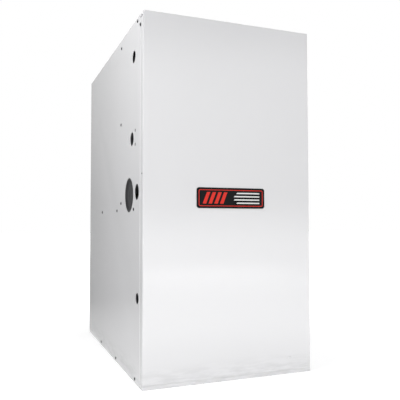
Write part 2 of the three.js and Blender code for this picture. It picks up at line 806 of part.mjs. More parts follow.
// Its probe reaches between the two middle tubes.
function limitSwitch() {
  const at = [0, vestibuleY - seat - sheet, limitSwitchZ];
  const front = [0, at[1] - limitSwitchDepth, limitSwitchZ];
  const flange = roundedRectangle(3.4 * limitSwitchRadius, 2.2 * limitProbeRadius, limitProbeRadius);
  return join(
    rod("y", front, limitSwitchDepth + sheet / 2, limitSwitchRadius, 20),
    alongY(flange, at[1], at[1] + sheet, 0, limitSwitchZ),
    rod("y", at, limitProbeLength, limitProbeRadius, tubeSides),
  );
}

// ---- Burners and gas train ----

// An in-shot burner: a bell for gas and air, a throat, and a wide head.
function burner(hasLeft, hasRight) {
  const length = burnerEndY - burnerStartY;
  const throat = length * 0.26;
  const neck = length * 0.5;
  const shoulder = length * 0.64;
  const outside = [
    [burnerBellRadius, 0],
    [burnerThroatRadius + 1.6, throat * 0.5],
    [burnerThroatRadius, throat],
    [burnerThroatRadius + 1.4, neck],
    [burnerHeadRadius, shoulder],
    [burnerHeadRadius, length],
  ];
  const inside = outside.map(([radius, along]) => [radius - burnerWall, along]).reverse();
  const at = [0, burnerStartY, burnerZ];
  const shell = revolve("y", at, [...outside, ...inside, outside[0]], burnerSides);
  const boreStart = burnerStartY + shoulder;
  const bore = rod("y", [0, boreStart, burnerZ], length, burnerHeadRadius - burnerWall, burnerSides);
  const reach = (tubePitch - seat) / 2;
  const wing = (x0, x1) => {
    const [floor, top] = [burnerZ - carryoverHeight / 2, burnerZ + carryoverHeight / 2];
    const front = burnerEndY - carryoverDepth;
    const wall = 2 * burnerWall;
    return cut(
      block(x0, x1, front, burnerEndY, floor, top),
      block(x0 - 1, x1 + 1, front + wall, burnerEndY + 1, floor + wall, top - wall),
    );
  };
  const wings = [];
  if (hasLeft) wings.push(wing(-reach, -burnerHeadRadius + 2 * burnerWall));
  if (hasRight) wings.push(wing(burnerHeadRadius - 2 * burnerWall, reach));
  return cut(join(shell, ...wings), bore);
}

// Carries the burners, the manifold, the igniter and the flame sensor.
function burnerRack() {
  const front = railY - railRadius;
  const back = vestibuleY - seat;
  const floor = rackTop - sheet;
  const middle = sheet / 2;
  const wall = rackX - middle;
  const top = rackTop + rackWallHeight;
  const profile = foldedSheet([
    [-wall, top],
    [-wall, floor + middle],
    [wall, floor + middle],
    [wall, top],
  ]);
  const lip = (x0, x1) => block(x0, x1, back - sheet, back, floor + 2 * bendRadius, top);
  return cut(
    join(
      alongY(profile, front, back, 0, 0),
      lip(-rackX - rackMargin, -rackX + middle),
      lip(rackX - middle, rackX + rackMargin),
    ),
    block(-rackX + rackMargin, rackX - rackMargin, front - 1, burnerStartY - 6, floor - 1, rackTop + 1),
    block(-rackX + 2 * sheet, rackX - 2 * sheet, probeY, back + 1, floor - 1, rackTop + 1),
    rod("x", [-rackX - 1, probeY, burnerZ], 2 * rackX + 2, probeHoleRadius, 12),
  );
}

// A hexagonal nozzle that points into a burner's bell.
function gasOrifice(x) {
  const start = railY + railRadius - 1;
  const end = railY + railRadius + orificeLength;
  const tip = rod("y", [x, end - 3, burnerZ], 3, orificeRadius * 0.6, 6);
  return join(rod("y", [x, start, burnerZ], end - 2 - start, orificeRadius, 6), tip);
}

// The pipe across the burners, with its nozzles and the end tabs that hold it in the rack.
function gasManifold() {
  const x = rackX - sheet - seat;
  const tab = 1.5 * railRadius;
  const [front, back] = [railY - railRadius, railY + railRadius];
  const end = (x0) => block(x0, x0 + 2, front, back, burnerZ - tab, burnerZ + tab);
  const pipe = rod("x", [-x, railY, burnerZ], 2 * x, railRadius, 10);
  return join(pipe, end(-x), end(x - 2), ...tubePlaces().map(gasOrifice));
}

// The valve lies in line with the gas hole of the cabinet's left side.
function gasValve() {
  const x0 = -halfWidth + valveInletGap;
  const [y, z] = [valveDepth / 2, valveHeight / 2];
  const chamfer = valveChamfer;
  const profile = new THREE.Shape([
    new THREE.Vector2(-y, -z + chamfer),
    new THREE.Vector2(-y + chamfer, -z),
    new THREE.Vector2(y - chamfer, -z),
    new THREE.Vector2(y, -z + chamfer),
    new THREE.Vector2(y, z),
    new THREE.Vector2(-y + chamfer, z),
    new THREE.Vector2(-y, z - chamfer),
  ]);
  const body = alongX(profile, x0 + valvePortLength, x0 + valveLength, valveY, burnerZ);
  const inlet = rod("x", [x0, valveY, burnerZ], valvePortLength + 1, valvePortRadius, 6);
  const outletX = x0 + valveLength - 1;
  const outlet = rod("x", [outletX, valveY, burnerZ], valvePortLength + 1, valvePortRadius, 6);
  const regulatorX = x0 + valvePortLength + regulatorOffset;
  const regulatorY = valveY - y - regulatorStand;
  const regulator = rod("y", [regulatorX, regulatorY, burnerZ], regulatorStand + 1, regulatorRadius, 14);
  const solenoid = block(
    x0 + valvePortLength + coilOffset, x0 + valveLength - coilMargin,
    valveY - y - coilStand, valveY - y + 1, burnerZ - coilDrop, burnerZ + coilRise,
  );
  return cut(
    join(body, inlet, outlet, regulator, solenoid),
    rod("x", [x0 - 1, valveY, burnerZ], valvePortLength, supplyPipeRadius, 14),
    rod("x", [outletX + valveSocket, valveY, burnerZ], valvePortLength, supplyPipeRadius + seat, 14),
  );
}

const knobX = -halfWidth + valveInletGap + valvePortLength + knobOffset;
const knobFloor = burnerZ + valveHeight / 2 + seat;

function gasKnob() {
  const skirt = revolve("z", [knobX, valveY, knobFloor], [
    [0, 0],
    [knobRadius, 0],
    [knobRadius, 3],
    [knobRadius - 2, 4.5],
    [knobRadius - 2.5, knobHeight * 0.6],
    [0, knobHeight * 0.6],
  ], 16);
  const grip = roundedRectangle(2 * knobRadius - 6, 6, 2.5);
  return join(skirt, alongZ(grip, knobFloor + 1, knobFloor + knobHeight, knobX, valveY));
}

// From the valve's outlet, round a bend, to the manifold.
function supplyPipe() {
  const start = -halfWidth + valveInletGap + valveLength + valveSocket;
  const turn = start + valvePortLength + supplyBend + 6;
  const end = railY - railRadius - seat;
  const route = roundedRoute(
    [point(start, valveY, burnerZ), point(turn, valveY, burnerZ), point(turn, end, burnerZ)],
    supplyBend,
    4,
  );
  return sweep(route, () => [supplyPipeRadius, supplyPipeRadius], point(0, 0, 1), 10);
}

// A bar through a wall of the rack, in front of an outer burner. Its body is outside the wall.
function probe(side, radius, bodyRadius, bodyLength) {
  const start = side * (rackX + seat);
  const tip = side * (rackX - probeReach);
  const end = start + side * bodyLength;
  const bar = rod("x", [Math.min(tip, end), probeY, burnerZ], Math.abs(end - tip), radius, 8);
  const body = rod("x", [Math.min(start, end), probeY, burnerZ], bodyLength, bodyRadius, 10);
  return join(bar, body);
}

function rolloutSwitch() {
  const back = vestibuleY - seat;
  const height = burnerZ + rolloutRise;
  const flange = roundedRectangle(rolloutFlangeWidth, rolloutFlangeHeight, rolloutFlangeHeight / 2.2);
  const front = back - sheet - rolloutDepth;
  const collar = buttonRadius + 2;
  return cut(
    join(
      alongY(flange, back - sheet, back, 0, height),
      rod("y", [0, front, height], rolloutDepth + sheet / 2, rolloutRadius, 10),
      rod("y", [0, front - 1.5, height], 2, collar, 8),
    ),
    rod("y", [0, front - 3, height], rolloutDepth, buttonRadius + runningGap, 8),
  );
}

function resetButton() {
  const bottom = vestibuleY - seat - sheet - 3 - buttonTravel - seat;
  const front = vestibuleY - seat - sheet - rolloutDepth - 1.5 - buttonReach;
  return rod("y", [0, front, burnerZ + rolloutRise], bottom - front, buttonRadius, 8);
}

// ---- Draft inducer ----

function inducerHousing() {
  const top = inducerOutletHeight;
  const flange = inducerZ + top;
  const outer = scrollShape(inducerTongueRadius, inducerMouthRadius, top);
  const inner = scrollShape(inducerTongueRadius, inducerMouthRadius, top + 1, inducerWall);
  const [front, back] = [inducerFrontY, inducerBackY];
  const barb = hoseBore / 2 - seat;
  return cut(
    join(
      alongY(outer, front, back, inducerX, inducerZ),
      block(
        flueX - flueFlange, flueX + flueFlange, flueY - flueFlange, flueY + flueFlange,
        flange - flueFlangeDepth, flange,
      ),
      rod("x", [inducerX + inducerMouthRadius - 1, flueY, inducerZ + barbRise], barbLength + 1, barb, 8),
    ),
    alongY(inner, front + inducerWall, back - inducerWall, inducerX, inducerZ),
    rod("y", [inducerX, back - inducerWall - 1, inducerZ], inducerWall + 2, inducerInletRadius, 16),
    rod("y", [inducerX, front - 1, inducerZ], inducerWall + 2, inducerShaftRadius + 2 * runningGap, 14),
  );
}

const inducerDiscY = inducerFrontY + inducerWall + inducerWheelSetback;

function inducerWheel() {
  const at = [inducerX, inducerDiscY, inducerZ];
  const [disc, shroud] = [1.2, 1.2];
  const solids = [
    rod("y", at, disc, inducerWheelRadius, inducerWheelSides),
    rod("y", [inducerX, inducerDiscY - 2, inducerZ], 14, inducerHubRadius, 12),
    revolve("y", [inducerX, inducerDiscY + inducerWheelWidth - shroud, inducerZ], [
      [inducerShroudRadius, 0],
      [inducerWheelRadius, 0],
      [inducerWheelRadius, shroud],
      [inducerShroudRadius, shroud],
      [inducerShroudRadius, 0],
    ], inducerWheelSides),
  ];
  for (let i = 0; i < inducerBlades; i++) {
    const angle = (2 * Math.PI * i) / inducerBlades;
    const reach = [inducerBladeRoot, inducerWheelRadius - 1];
    solids.push(spoke("y", at, reach, [disc / 2, inducerWheelWidth - shroud / 2], 1.2, angle));
  }
  return cut(
    join(...solids),
    rod("y", [inducerX, inducerDiscY - 3, inducerZ], 14, inducerShaftRadius + seat, 14),
  );
}

const inducerMotorY = inducerFrontY - coolingFanSpace;

function inducerShaft() {
  const start = inducerMotorY - 12;
  return rod("y", [inducerX, start, inducerZ], inducerDiscY + 10 - start, inducerShaftRadius, 14);
}

function coolingFan() {
  const y = inducerFrontY - (coolingFanSpace + coolingFanWidth) / 2;
  const at = [inducerX, y, inducerZ];
  const fins = Array.from({ length: coolingFanFins }, (_, i) =>
    spoke("y", at, [inducerHubRadius - 2, coolingFanRadius - 1], [0.6, coolingFanWidth], 1.2,
      (2 * Math.PI * i) / coolingFanFins));
  const disc = rod("y", at, 1.2, coolingFanRadius, 16);
  return cut(
    join(disc, rod("y", at, coolingFanWidth, inducerHubRadius, 14), ...fins),
    rod("y", [inducerX, y - 1, inducerZ], coolingFanWidth + 2, inducerShaftRadius + seat, 14),
  );
}

// It stands off the housing on three posts, round the cooling fan.
function inducerMotor() {
  const front = inducerMotorY - inducerMotorLength;
  const radius = inducerMotorRadius;
  const body = revolve("y", [inducerX, front, inducerZ], [
    [0, 0],
    [radius * 0.3, 0],
    [radius * 0.34, 4],
    [radius * 0.86, 7],
    [radius, 14],
    [radius, inducerMotorLength - 8],
    [radius * 0.86, inducerMotorLength],
    [0, inducerMotorLength],
  ], 16);
  const posts = [0, 1, 2].map((i) => {
    const angle = Math.PI / 2 + (2 * Math.PI * i) / 3;
    const pitch = coolingFanRadius + 2 + motorPostRadius;
    const x = inducerX + pitch * Math.cos(angle);
    const z = inducerZ + pitch * Math.sin(angle);
    return rod("y", [x, front + 16, z], inducerFrontY - seat - front - 16, motorPostRadius, 6);
  });
  return cut(
    join(body, ...posts),
    rod("y", [inducerX, inducerMotorY - 14, inducerZ], 15, inducerShaftRadius + runningGap, 12),
  );
}

function flueCollar() {
  const floor = inducerZ + inducerOutletHeight + seat;
  const height = cabinetHeight + flueStandUp - floor;
  const neck = inducerDepth / 2 - 2 * inducerWall;
  return revolve("z", [flueX, flueY, floor], [
    [neck, 0],
    [flueFlange - 1, 0],
    [flueFlange - 1, flueFlangeDepth],
    [neck + flueWall, flueFlangeDepth],
    [flueRadius, flueTaper],
    [flueRadius, height],
    [flueRadius - flueWall, height],
    [flueRadius - flueWall, flueTaper],
    [neck, flueFlangeDepth],
    [neck, 0],
  ], flueSides);
}

function pressureSwitch() {
  const back = vestibuleY - seat;
  const front = back - pressureSwitchDepth;
  const [x, z, radius] = [pressureSwitchX, pressureSwitchZ, pressureSwitchRadius];
  const plate = pressureSwitchPlate / 2;
  const drum = revolve("y", [x, front, z], [
    [0, 0],
    [radius * 0.42, 0],
    [radius * 0.5, 5],
    [radius * 0.92, 9],
    [radius, 11],
    [radius, 15],
    [radius * 0.92, 17],
    [radius * 0.7, 20],
    [radius * 0.7, pressureSwitchDepth - sheet / 2],
    [0, pressureSwitchDepth - sheet / 2],
  ], 16);
  return join(
    drum,
    block(x - plate, x + plate, back - sheet, back, z - plate, z + radius + collectorRim),
    rod("y", [x, front - barbLength, z], barbLength + 1, hoseBore / 2 - seat, 8),
  );
}

// From the pressure switch up to the barb on the inducer's side.
function pressureHose() {
  const switchFront = vestibuleY - seat - pressureSwitchDepth - seat;
  const barbX = inducerX + inducerMouthRadius + seat;
  const [x, z, top] = [pressureSwitchX, pressureSwitchZ, inducerZ + barbRise];
  const route = roundedRoute(
    [point(x, switchFront, z), point(x, flueY, z), point(x, flueY, top), point(barbX, flueY, top)],
    hoseBend,
    4,
  );
  return cut(
    sweep(route, () => [hoseRadius, hoseRadius], point(1, 0, 0), 8),
    rod("y", [x, switchFront - barbLength, z], barbLength + 1, hoseBore / 2, 8),
    rod("x", [barbX - 1, flueY, top], barbLength + 1, hoseBore / 2, 8),
  );
}

// ---- Blower ----

const scrollTop = deckUnderside - seat - blowerHeight; // above the blower's axis

// The rolled edge of an inlet, turned into the housing.
function inletRing(side) {
  const flare = (offset) => [
    [inletRadius + inletFlare, offset],
    [inletRadius + inletFlare * 0.3 + offset * 0.7, inletFlare * 0.3 + offset * 0.7],
    [inletRadius + offset, inletFlare],
  ];
  const profile = [...flare(0), ...flare(sheet).reverse(), [inletRadius + inletFlare, 0]];
  const inward = profile.map(([radius, along]) => [radius, -side * along]);
  return revolve("x", [(side * scrollWidth) / 2, blowerY, blowerHeight], inward, inletSides);
}

function blowerHousing() {
  const half = scrollWidth / 2;
  const outer = scrollShape(scrollTongueRadius, scrollMouthRadius, scrollTop);
  const inner = scrollShape(scrollTongueRadius, scrollMouthRadius, scrollTop + 1, sheet);
  const neckY = blowerY + scrollTongueRadius * Math.cos(tongueAngle);
  const holeRadius = inletRadius + inletFlare - sheet / 3;
  const hole = rod("x", [-half - 1, blowerY, blowerHeight], 2 * half + 2, holeRadius, inletSides);
  const flangeTop = deckUnderside - railDrop;
  const flange = (x0, x1) => block(x0, x1, neckY, blowerY + scrollMouthRadius, flangeTop - sheet, flangeTop);
  const shell = cut(
    alongX(outer, -half, half, blowerY, blowerHeight),
    alongX(inner, -half + sheet, half - sheet, blowerY, blowerHeight),
    hole,
  );
  return join(
    shell,
    inletRing(-1),
    inletRing(1),
    flange(-half - scrollFlange, -half + sheet / 2),
    flange(half - sheet / 2, half + scrollFlange),
  );
}

// A double-inlet wheel: curved blades between two rims, carried by a disc and hub at the middle.
function blowerWheel() {
  const half = wheelWidth / 2;
  const rim = (x) => revolve("x", [x, blowerY, blowerHeight], [
    [wheelInnerRadius, 0],
    [wheelRadius, 0],
    [wheelRadius, wheelRing],
    [wheelInnerRadius, wheelRing],
    [wheelInnerRadius, 0],
  ], wheelBlades);
  const depth = wheelRadius - wheelInnerRadius;
  const sweepAngle = Math.asin((depth / 2 - bladeMargin) / bladeArc);
  const lean = THREE.MathUtils.degToRad(bladeLean);
  const [from, to] = [-Math.PI / 2 - sweepAngle + lean, -Math.PI / 2 + sweepAngle + lean];
  const solids = [rim(-half), rim(half - wheelRing)];
  for (let i = 0; i < wheelBlades; i++) {
    const turn = (2 * Math.PI * i) / wheelBlades;
    const middle = new THREE.Vector2((wheelRadius + wheelInnerRadius) / 2, bladeArc);
    middle.rotateAround(new THREE.Vector2(), turn);
    const edge = (radius) => Array.from({ length: 3 }, (_, k) => {
      const angle = turn + from + ((to - from) * k) / 2;
      return new THREE.Vector2(radius * Math.cos(angle), radius * Math.sin(angle)).add(middle);
    });
    const blade = new THREE.Shape([...edge(bladeArc), ...edge(bladeArc - bladeThickness).reverse()]);
    solids.push(alongX(blade, -half + wheelRing / 2, half - wheelRing / 2, blowerY, blowerHeight));
  }
  const centred = (length, radius, segments) =>
    rod("x", [-length / 2, blowerY, blowerHeight], length, radius, segments);
  solids.push(centred(wheelDiscThickness, wheelDiscRadius, wheelBlades));
  solids.push(centred(hubLength, hubRadius, 20));
  const bore = centred(hubLength + 2, shaftRadius + seat, 16);
  return cut(join(...solids), bore);
}

const motorFrontX = scrollWidth / 2 + motorOverhang - motorLength;

function blowerShaft() {
  const start = -hubLength / 2 - shaftRadius;
  const end = motorFrontX + motorBoreDepth - seat;
  return rod("x", [start, blowerY, blowerHeight], end - start, shaftRadius, 16);
}

function blowerMotor() {
  const bore = shaftRadius + runningGap;
  const [radius, length] = [motorRadius, motorLength];
  return revolve("x", [motorFrontX, blowerY, blowerHeight], [
    [bore, 0],
    [motorBoss, 0],
    [motorBoss, 5],
    [radius * 0.8, 9],
    [radius, 21],
    [radius, length - 21],
    [radius * 0.8, length - 9],
    [motorBoss, length - 5],
    [motorBoss, length],
    [0, length],
    [0, motorBoreDepth],
    [bore, motorBoreDepth],
    [bore, 0],
  ], motorSides);
}

// A clamped band round the motor, with arms that end on the housing's side.
function motorBand() {
  const inner = motorRadius + seat;
  const armStart = scrollWidth / 2 + seat;
  const start = armStart - (bandWidth - armThickness) / 2;
  const band = revolve("x", [start, blowerY, blowerHeight], [
    [inner, 0],
    [inner + bandDepth, 0],
    [inner + bandDepth, bandWidth],
    [inner, bandWidth],
    [inner, 0],
  ], motorSides);
  const reach = [inner + bandDepth / 2, inletRadius + inletFlare + armReach];
  const arms = Array.from({ length: armCount }, (_, i) => {
    const angle = (2 * Math.PI * i) / armCount;
    return spoke("x", [armStart, blowerY, blowerHeight], reach, [0, armThickness], armWidth, angle);
  });
  return join(band, ...arms);
}

// A rail under the deck that carries a flange of the blower's housing.
function blowerRail(side) {
  const middle = sheet / 2;
  const web = scrollWidth / 2 + scrollFlange + bendRadius + middle;
  const top = deckUnderside - seat - middle;
  const floor = deckUnderside - railDrop - sheet - seat - middle;
  const profile = foldedSheet([
    [side * (web + railFlange), top],
    [side * web, top],
    [side * web, floor],
    [side * (web - railFlange), floor],
  ]);
  return alongY(profile, doorFaceY + railFrontSetback, blowerY + scrollMouthRadius + panelFlange);
}

// ---- Controls ----

const controlPanelTop = deckUnderside - seat;
const boardZ = controlPanelTop - controlPanelHeight / 2;

function controlPanel() {
  const x = controlPanelWidth / 2;
  const floor = controlPanelTop - controlPanelHeight;
  const panel = tray(-x, x, controlPanelY, controlPanelY + panelFlange, floor, controlPanelTop, "+y");
  const [width, height] = [boardWidth / 2 - 2 * standoffRadius, boardHeight / 2 - 2 * standoffRadius];
  const posts = [[-1, -1], [-1, 1], [1, -1], [1, 1]].map(([u, v]) => {
    const at = [boardX + u * width, controlPanelY - standoff, boardZ + v * height];
    return rod("y", at, standoff + sheet / 2, standoffRadius, 10);
  });
  return join(panel, ...posts);
}

function controlBoard() {
  const back = controlPanelY - standoff - seat;
  const front = back - boardThickness;
  const [x, z] = [boardWidth / 2, boardHeight / 2];
  const on = (x0, x1, rise, z0, z1) =>
    block(boardX + x0, boardX + x1, front - rise, front + 0.5, boardZ + z0, boardZ + z1);
  const relays = [-1, 0, 1].map((i) => {
    const start = i * (relaySize + relayGap) - relaySize / 2 + relayOffset;
    return on(start, start + relaySize, relayHeight, relayRise, relayRise + relaySize);
  });
  return join(
    block(boardX - x, boardX + x, front, back, boardZ - z, boardZ + z),
    ...relays,
    on(
      -x + plugStripInset, -x + plugStripInset + plugStripWidth, plugStripHeight,
      -z + plugStripFloor, z - plugStripTop,
    ),
    on(
      -x + tabStripStart, x - tabStripEnd, tabStripHeight,
      -z + tabStripInset, -z + tabStripInset + tabStripWidth,
    ),
    rod(
      "y", [boardX + x - boardCanInset, front - boardCanHeight, boardZ - z + boardCanRise],
      boardCanHeight + 0.5, boardCanRadius, 14,
    ),
  );
}

function transformer() {
  const back = controlPanelY - seat;
  const [x, z] = [transformerWidth / 2, transformerHeight / 2];
  const front = back - transformerDepth;
  const coreX = x - transformerFoot;
  const footZ = transformerFootHeight / 2;
  const core = block(transformerX - coreX, transformerX + coreX, front, back, boardZ - z, boardZ + z);
  const foot = block(transformerX - x, transformerX + x, back - 2, back, boardZ - footZ, boardZ + footZ);
  const coil = roundedRectangle(windingWidth, windingDepth, windingWidth / 6);
  const [low, high] = [boardZ - z - windingStand, boardZ + z + windingStand];
  const winding = alongZ(coil, low, high, transformerX, back - transformerDepth / 2);
  return join(core, foot, winding);
}

const capacitorX = -scrollWidth / 2 - 2 * seat - sheet - capacitorRadius;
const capacitorY = blowerY - capacitorOffset;
const capacitorFloor = blowerHeight - capacitorLength / 2;

function runCapacitor() {
  return revolve("z", [capacitorX, capacitorY, capacitorFloor], [
    [0, 0],
    [capacitorRadius - 1.5, 0],
    [capacitorRadius, 1.5],
    [capacitorRadius, capacitorLength - 3],
    [capacitorRadius - 1, capacitorLength],
    [capacitorRadius - 2.5, capacitorLength - 2.5],
    [0, capacitorLength - 2.5],
  ], 20);
}

// A band round the capacitor, with a foot each side on the blower's housing.
function capacitorStrap() {
  const outer = capacitorRadius + seat + sheet;
  const [floor, top] = [blowerHeight - strapWidth / 2, blowerHeight + strapWidth / 2];
  const plateX = -scrollWidth / 2 - seat;
  const reach = outer + strapFoot;
  const foot = block(plateX - sheet, plateX, capacitorY - reach, capacitorY + reach, floor, top);
  return cut(
    join(rod("z", [capacitorX, capacitorY, floor], strapWidth, outer, 20), foot),
    rod("z", [capacitorX, capacitorY, floor - 1], strapWidth + 2, capacitorRadius + seat, 20),
  );
}

const plungerTipY = frameY - plungerReach;
const switchBackY = panelFrontY + sheet + seat;

// A bracket behind the cabinet's front flange carries the door switch.
function switchBracket() {
  const [floor, top] = [switchZ - switchBracketHeight / 2, switchZ + switchBracketHeight / 2];
  return cut(
    block(halfWidth - switchBracketReach, innerX - bendRadius, panelFrontY, panelFrontY + sheet, floor, top),
    rod("y", [switchX, panelFrontY - 1, switchZ], sheet + 2, plungerRadius + 2 * runningGap, 16),
  );
}

function doorSwitch() {
  const [x, z] = [switchWidth / 2, switchBodyHeight / 2];
  const back = switchBackY + switchBodyDepth;
  return cut(
    block(switchX - x, switchX + x, switchBackY, back, switchZ - z, switchZ + z),
    rod("y", [switchX, switchBackY - 1, switchZ], plungerSeat + 1, plungerRadius + runningGap, 16),
  );
}

function switchPlunger() {
  const end = switchBackY + plungerSeat - seat;
  return revolve("y", [switchX, plungerTipY, switchZ], [
    [0, 0],
    [plungerRadius - 1.2, 0],
    [plungerRadius, 1.2],
    [plungerRadius, end - plungerTipY],
    [0, end - plungerTipY],
  ], 16);
}

const junctionBoxY = doorFaceY + junctionBoxSetback;

function junctionBox() {
  const [x0, x1] = [-panelX, -panelX + junctionBoxDepth];
  const half = junctionBoxSize / 2;
  const size = [junctionBoxY - half, junctionBoxY + half, conduitHoleHeight - half, conduitHoleHeight + half];
  const inner = [size[0] + sheet, size[1] - sheet, size[2] + sheet, size[3] - sheet];
  const holeAt = [x0 - 1, doorFaceY + conduitHoleSetback, conduitHoleHeight];
  return cut(
    block(x0, x1, ...size),
    block(x0 + sheet, x1 + 1, ...inner),
    rod("x", holeAt, sheet + 2, conduitHoleDiameter / 2, 20),
  );
}

function junctionBoxCover() {
  const x = -panelX + junctionBoxDepth + seat;
  const half = junctionBoxSize / 2;
  const [floor, top] = [conduitHoleHeight - half, conduitHoleHeight + half];
  return block(x, x + sheet, junctionBoxY - half, junctionBoxY + half, floor, top);
}

// A dark dished plug closes the large air hole from inside.
function airHolePlug() {
  const radius = airHoleDiameter / 2;
  const wall = -halfWidth + sheet + seat;
  return revolve("x", [wall, doorFaceY + airHoleSetback, airHoleHeight], [
    [0, 3],
    [radius - 7, 3],
    [radius - 4, -sheet],
    [radius - seat, -sheet],
    [radius - seat, 0],
    [radius + sheet, 0],
    [radius + sheet, sheet],
    [radius - 3, 3 + sheet],
    [0, 3 + sheet],
  ], airHoleSides);
}

// ---- The furnace ----

function addCabinet(group) {
  piece(group, "cabinet_wrapper", cabinetWrap(), paint);
  piece(group, "top_panel", topPanel(), galvanised);
  piece(group, "base_frame", baseFrame(), galvanised);
  piece(group, "door_sill", doorSill(), paint);
  piece(group, "blower_deck", blowerDeck(), galvanised);
  piece(group, "cross_rail", crossRail(), galvanised);
  piece(group, "vestibule_panel", vestibulePanel(), galvanised);
  piece(group, "foil_liner", foilLiner(), foil);
  piece(group, "air_hole_plug", airHolePlug(), blackPlastic);
}

function addDoor(group) {
  piece(group, "front_door", frontDoor(), paint);
  piece(group, "door_insulation", doorInsulation(), foil);
  piece(group, "door_switch_tab", switchTab(), galvanised);
  piece(group, "badge_plate", badge(), blackPlastic);
}

function addHeatExchanger(group) {
  const tube = exchangerTube();
  tubePlaces().forEach((x, i) => piece(group, `exchanger_tube_${i + 1}`, tube, aluminised, x));
  piece(group, "collector_box", collectorBox(), aluminised);
  piece(group, "limit_switch", limitSwitch(), shaftSteel);
}

function addBurners(group) {
  tubePlaces().forEach((x, i) => {
    piece(group, `burner_${i + 1}`, burner(i > 0, i + 1 < tubeCount), aluminised, x);
  });
  piece(group, "burner_rack", burnerRack(), galvanised);
  piece(group, "gas_manifold", gasManifold(), blackPaint);
  piece(group, "supply_pipe", supplyPipe(), blackPaint);
  piece(group, "gas_valve", gasValve(), castAluminium);
  piece(group, "gas_valve_knob", gasKnob(), blackPlastic);
  piece(group, "igniter", probe(-1, igniterRadius, igniterBodyRadius, igniterBodyLength), paleCeramic);
  piece(
    group,
    "flame_sensor",
    probe(1, flameSensorRadius, flameSensorBodyRadius, flameSensorBodyLength),
    paleCeramic,
  );
  const [rollout, button] = [rolloutSwitch(), resetButton()];
  [["left", -tubePitch], ["right", tubePitch]].forEach(([side, x]) => {
    piece(group, `rollout_switch_${side}`, rollout, shaftSteel, x);
    piece(group, `reset_button_${side}`, button, redPlastic, x);
  });
}

function addInducer(group) {
  piece(group, "inducer_housing", inducerHousing(), galvanised);
  piece(group, "inducer_wheel", inducerWheel(), aluminised);
  piece(group, "inducer_shaft", inducerShaft(), shaftSteel);
  piece(group, "inducer_cooling_fan", coolingFan(), castAluminium);
  piece(group, "inducer_motor", inducerMotor(), blackPaint);
  piece(group, "flue_collar", flueCollar(), galvanised);
  piece(group, "pressure_switch", pressureSwitch(), blackPlastic);
  piece(group, "pressure_hose", pressureHose(), hoseRubber);
}

function addBlower(group) {
  piece(group, "blower_housing", blowerHousing(), galvanised);
  piece(group, "blower_wheel", blowerWheel(), galvanised);
  piece(group, "blower_shaft", blowerShaft(), shaftSteel);
  piece(group, "blower_motor", blowerMotor(), blackPaint);
  piece(group, "motor_band", motorBand(), galvanised);
  piece(group, "blower_rail_left", blowerRail(-1), galvanised);
  piece(group, "blower_rail_right", blowerRail(1), galvanised);
  piece(group, "run_capacitor", runCapacitor(), castAluminium);
  piece(group, "capacitor_strap", capacitorStrap(), galvanised);
}

function addControls(group) {
  piece(group, "control_panel", controlPanel(), galvanised);
  piece(group, "control_board", controlBoard(), boardGreen);
  piece(group, "transformer", transformer(), blackPaint);
  piece(group, "door_switch_bracket", switchBracket(), galvanised);
  piece(group, "door_switch", doorSwitch(), blackPlastic);
  piece(group, "door_switch_plunger", switchPlunger(), blackPlastic);
  piece(group, "junction_box", junctionBox(), galvanised);
  piece(group, "junction_box_cover", junctionBoxCover(), galvanised);
}

for (const add of [addCabinet, addDoor, addHeatExchanger, addBurners, addInducer, addBlower, addControls]) {
  const group = new THREE.Group();
  add(group);
  furnace.add(group);
}

export default furnace;
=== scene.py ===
import json
import math

import bmesh
import bpy
from mathutils import Matrix, Vector


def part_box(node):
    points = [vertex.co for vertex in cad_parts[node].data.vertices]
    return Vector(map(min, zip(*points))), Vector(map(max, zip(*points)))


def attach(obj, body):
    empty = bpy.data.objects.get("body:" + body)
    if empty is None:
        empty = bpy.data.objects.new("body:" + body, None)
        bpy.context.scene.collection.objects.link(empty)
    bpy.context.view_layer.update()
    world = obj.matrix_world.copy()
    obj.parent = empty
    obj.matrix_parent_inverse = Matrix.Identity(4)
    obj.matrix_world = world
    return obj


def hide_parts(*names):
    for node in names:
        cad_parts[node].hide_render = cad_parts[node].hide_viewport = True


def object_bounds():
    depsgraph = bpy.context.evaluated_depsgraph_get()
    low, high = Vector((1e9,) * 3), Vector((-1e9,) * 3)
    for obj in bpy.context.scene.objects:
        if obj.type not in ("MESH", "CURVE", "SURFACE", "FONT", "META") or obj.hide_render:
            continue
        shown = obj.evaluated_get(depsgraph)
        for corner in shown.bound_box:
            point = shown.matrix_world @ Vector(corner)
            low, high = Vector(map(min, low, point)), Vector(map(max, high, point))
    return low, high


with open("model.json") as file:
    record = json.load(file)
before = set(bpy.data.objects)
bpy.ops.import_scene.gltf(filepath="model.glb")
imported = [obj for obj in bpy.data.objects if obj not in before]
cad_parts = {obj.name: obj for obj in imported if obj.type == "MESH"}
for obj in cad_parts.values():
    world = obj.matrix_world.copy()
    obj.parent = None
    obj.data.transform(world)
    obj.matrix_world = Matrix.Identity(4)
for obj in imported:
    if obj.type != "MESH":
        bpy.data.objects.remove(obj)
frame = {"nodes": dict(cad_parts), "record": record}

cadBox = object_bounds()
scene = bpy.context.scene
mm = 0.001
print("furnace loaded:", len(frame["nodes"]), "pieces")


# Links a socket to the given one, or sets its value.
def feed(tree, socket, value):
    if isinstance(value, bpy.types.NodeSocket):
        tree.links.new(value, socket)
    else:
        socket.default_value = value


def feedAll(tree, node, **inputs):
    for key, value in inputs.items():
        feed(tree, node.inputs[key.replace("_", " ")], value)
    return node


def addNode(tree, kind, settings=None, **inputs):
    node = tree.nodes.new(kind)
    for key, value in (settings or {}).items():
        setattr(node, key, value)
    return feedAll(tree, node, **inputs)


